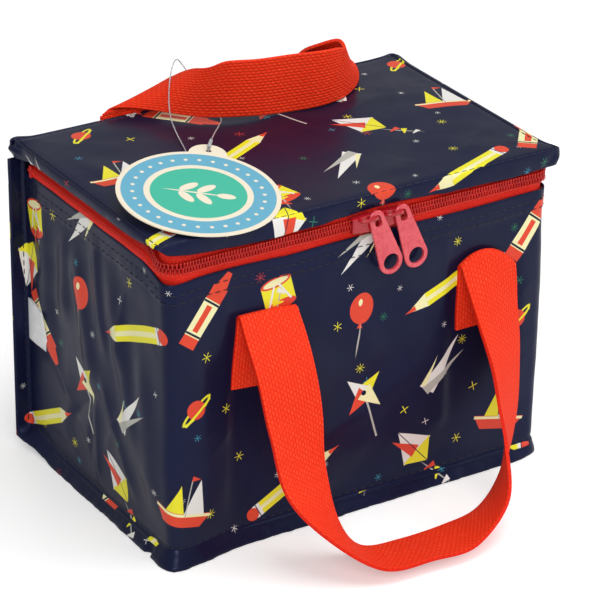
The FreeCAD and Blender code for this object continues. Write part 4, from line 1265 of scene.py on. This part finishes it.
labelLow, labelHigh = (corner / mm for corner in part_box("side_label"))
strip = {"sheet": 0.25, "length": 37, "width": 21, "standOff": 3.2, "fromSeam": 1.8}


def labelSurface(a, b):
    # a runs round the fold: out along one face and back along the other
    tall = labelHigh.z - labelLow.z
    deep = labelHigh.y - labelLow.y
    across = 1 - np.abs(2 * a - 1)
    outer = smoothStep(a, 0.47, 0.53)
    lift = strip["standOff"] * across ** 1.6 * (0.15 + 0.85 * b) + 0.25 * np.sin(across * 5)
    gapOut = 0.1 + 0.45 * outer * (1 - 0.6 * across ** 8)
    x = labelHigh.x - gapOut - lift
    y = labelHigh.y - strip["fromSeam"] - deep * across * (1 - 0.02 * b)
    return np.stack([x, y, labelLow.z + tall * b], 1)


label = cloth("sideLabel", 60, 14, labelSurface,
              lambda a, b: np.stack([a * strip["length"], b * strip["width"]], 1), "label",
              strip["sheet"])
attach(label, "bag")
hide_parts("side_label")


# the swing tag: a thin card, made flat about the middle of its disc and then laid in place

def tagPlace():
    hole = Vector(card["hole"]) * mm
    turn = Matrix.Rotation(math.radians(card["heading"]), 4, "Z")
    turn = turn @ Matrix.Rotation(math.radians(card["dip"]), 4, "Y")
    turn = turn @ Matrix.Rotation(math.radians(-card["roll"]), 4, "X")
    return Matrix.Translation(hole) @ turn


def swingTag():
    # the outline is the disc and its ear, joined by a bridge; the hole is cut by an inner ring
    bm = bmesh.new()
    reach, radius, ear = card["reach"], card["radius"], card["earRadius"]
    inset = card["earInset"]
    gap = reach - inset
    meet = (gap ** 2 + radius ** 2 - ear ** 2) / (2 * gap)
    discHalf = math.acos(meet / radius)
    earHalf = math.acos((gap - meet) / ear)
    outline = []
    for number in range(97):
        angle = discHalf + (2 * math.pi - 2 * discHalf) * number / 96
        outline.append((reach - radius * math.cos(angle), -radius * math.sin(angle)))
    for number in range(1, 24):
        angle = earHalf + (2 * math.pi - 2 * earHalf) * number / 24
        outline.append((inset + ear * math.cos(angle), ear * math.sin(angle)))
    rim = [bm.verts.new((x * mm, y * mm, 0)) for x, y in outline]
    for pair in zip(rim, rim[1:] + rim[:1]):
        bm.edges.new(pair)
    bmesh.ops.create_circle(bm, segments=24, radius=card["holeRadius"] * mm)
    bmesh.ops.triangle_fill(bm, use_beauty=True, edges=bm.edges[:])
    bmesh.ops.recalc_face_normals(bm, faces=bm.faces)
    body = bmesh.ops.extrude_face_region(bm, geom=bm.faces[:])
    moved = [item for item in body["geom"] if isinstance(item, bmesh.types.BMVert)]
    bmesh.ops.translate(bm, verts=moved, vec=(0, 0, card["thickness"] * mm))
    bmesh.ops.translate(bm, verts=bm.verts, vec=(0, 0, -card["thickness"] * mm / 2))
    bmesh.ops.recalc_face_normals(bm, faces=bm.faces)
    layer = bm.loops.layers.uv.new("cloth")
    for face in bm.faces:
        for loop in face.loops:
            spot = loop.vert.co / mm
            loop[layer].uv = ((spot.x - reach) * mm, spot.y * mm)
    bmesh.ops.transform(bm, matrix=tagPlace(), verts=bm.verts)
    piece = finish("swingTag", bm, "card", smooth=False)
    roundEdges(piece, card["edge"], 2)
    return piece


tag = swingTag()
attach(tag, "swing_tag")
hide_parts("swing_tag")

threadRoute = [
    (-45.0, -6.0, 169.7), (-38.5, 2.1, 170.5), (-26.0, 18.0, 166.8), (-14.0, 34.0, 162.2),
    (-10.5, 44.0, 161.6), (-11.0, 54.0, 165.0), (-14.5, 60.5, 173.0), (-18.5, 64.0, 181.0),
    (-22.5, 62.5, 185.5), (-28.5, 56.5, 183.5), (-33.0, 51.5, 175.0), (-35.5, 46.5, 165.0),
    (-40.0, 33.0, 162.2), (-46.0, 14.0, 162.2), (-51.0, 2.0, 163.0), (-50.5, -6.0, 164.0),
    (-45.8, -7.0, 165.2), (-45.4, -6.5, 169.0),
]


def tagThread():
    curve = bpy.data.curves.new("tagThread", "CURVE")
    curve.dimensions = "3D"
    curve.bevel_depth = 0.3 * mm
    curve.bevel_resolution = 3
    curve.resolution_u = 10
    line = curve.splines.new("NURBS")
    line.points.add(len(threadRoute) - 1)
    for point, spot in zip(line.points, threadRoute):
        point.co = (*(value * mm for value in spot), 1)
    line.order_u = 3
    line.use_endpoint_u = True
    curve.materials.append(finishes["thread"])
    piece = bpy.data.objects.new("tagThread", curve)
    bpy.context.scene.collection.objects.link(piece)
    return piece


thread = tagThread()
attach(thread, "tag_thread")
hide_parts("tag_thread")
print("tag and thread hung")


# light, floor and camera

studio = {"floorTone": 0.86, "floorGlow": 0.34, "floorDrop": 0.4, "light": 0.42}
lamps = {  # where each hangs, what it is aimed at, its size and its power
    "keyLight": ((-0.9, -1.4, 1.15), (0, 0, 0.08), (0.9, 0.9), 12),
    "fillLight": ((1.3, -0.8, 0.8), (0.1, -0.2, 0), (0.9, 0.9), 7),
    "topLight": ((0.2, -0.4, 1.8), (0, 0, 0.1), (1.2, 0.8), 13),
}
view = {  # a long lens from the front left, a little above
    "turn": -32.02, "rise": 26.33, "roll": 0.65, "far": 1.4781, "aim": (0, 0, 0.08), "lens": 186.63,
    "shiftX": 0.02666, "shiftY": -0.00387,
}


def stageSet():
    bm = bmesh.new()
    bmesh.ops.create_grid(bm, x_segments=1, y_segments=1, size=6.0)
    bmesh.ops.translate(bm, verts=bm.verts, vec=(0, 0, -studio["floorDrop"] * mm))
    mesh = bpy.data.meshes.new("floor")
    bm.to_mesh(mesh)
    bm.free()
    tone = studio["floorTone"]
    material, tree, shader = newMaterial("pale floor", Base_Color=(tone, tone, tone, 1), Roughness=0.6,
                                         Emission_Color=(1, 1, 1, 1))
    seen = addNode(tree, "LightPath")
    feed(tree, calc(tree, "MULTIPLY", seen.outputs["Is Camera Ray"], studio["floorGlow"]),
         shader.inputs["Emission Strength"])
    mesh.materials.append(material)
    floor = bpy.data.objects.new("floor", mesh)
    bpy.context.scene.collection.objects.link(floor)


def worldSet():
    # plain light on the object, with a white background seen past it
    world = bpy.data.worlds.new("studio")
    world.use_nodes = True
    bpy.context.scene.world = world
    tree = world.node_tree
    background = tree.nodes["Background"]
    background.inputs["Color"].default_value = (1, 1, 1, 1)
    seen = addNode(tree, "LightPath")
    plain = calc(tree, "MAXIMUM", seen.outputs["Is Camera Ray"], seen.outputs["Is Transmission Ray"])
    feed(tree, calc(tree, "MULTIPLY_ADD", plain, 1 - studio["light"], studio["light"]),
         background.inputs["Strength"])


def lamp(name, spot, aim, size, power):
    light = bpy.data.lights.new(name, "AREA")
    light.shape = "RECTANGLE"
    light.size, light.size_y = size
    light.energy = power
    piece = bpy.data.objects.new(name, light)
    piece.location = spot
    piece.rotation_euler = (Vector(aim) - Vector(spot)).to_track_quat("-Z", "Y").to_euler()
    bpy.context.scene.collection.objects.link(piece)


def cameraSet():
    turn, rise, roll = (math.radians(view[key]) for key in ("turn", "rise", "roll"))
    backwards = Vector((math.sin(turn) * math.cos(rise), -math.cos(turn) * math.cos(rise), math.sin(rise)))
    right = (-backwards).cross(Vector((0, 0, 1))).normalized()
    up = right.cross(-backwards)
    tiltRight = right * math.cos(roll) + up * math.sin(roll)
    tiltUp = up * math.cos(roll) - right * math.sin(roll)
    lens = bpy.data.cameras.new("camera")
    lens.lens = view["lens"]
    lens.sensor_width = 36
    lens.shift_x, lens.shift_y = view["shiftX"], view["shiftY"]
    camera = bpy.data.objects.new("camera", lens)
    bpy.context.scene.collection.objects.link(camera)
    turned = Matrix((tiltRight, tiltUp, backwards)).transposed().to_4x4()
    camera.matrix_world = Matrix.Translation(Vector(view["aim"]) + backwards * view["far"]) @ turned
    bpy.context.scene.camera = camera


stageSet()
worldSet()
for name, values in lamps.items():
    lamp(name, *values)
cameraSet()
bpy.context.scene.view_settings.view_transform = "Standard"
print("stage, lamps and camera set")
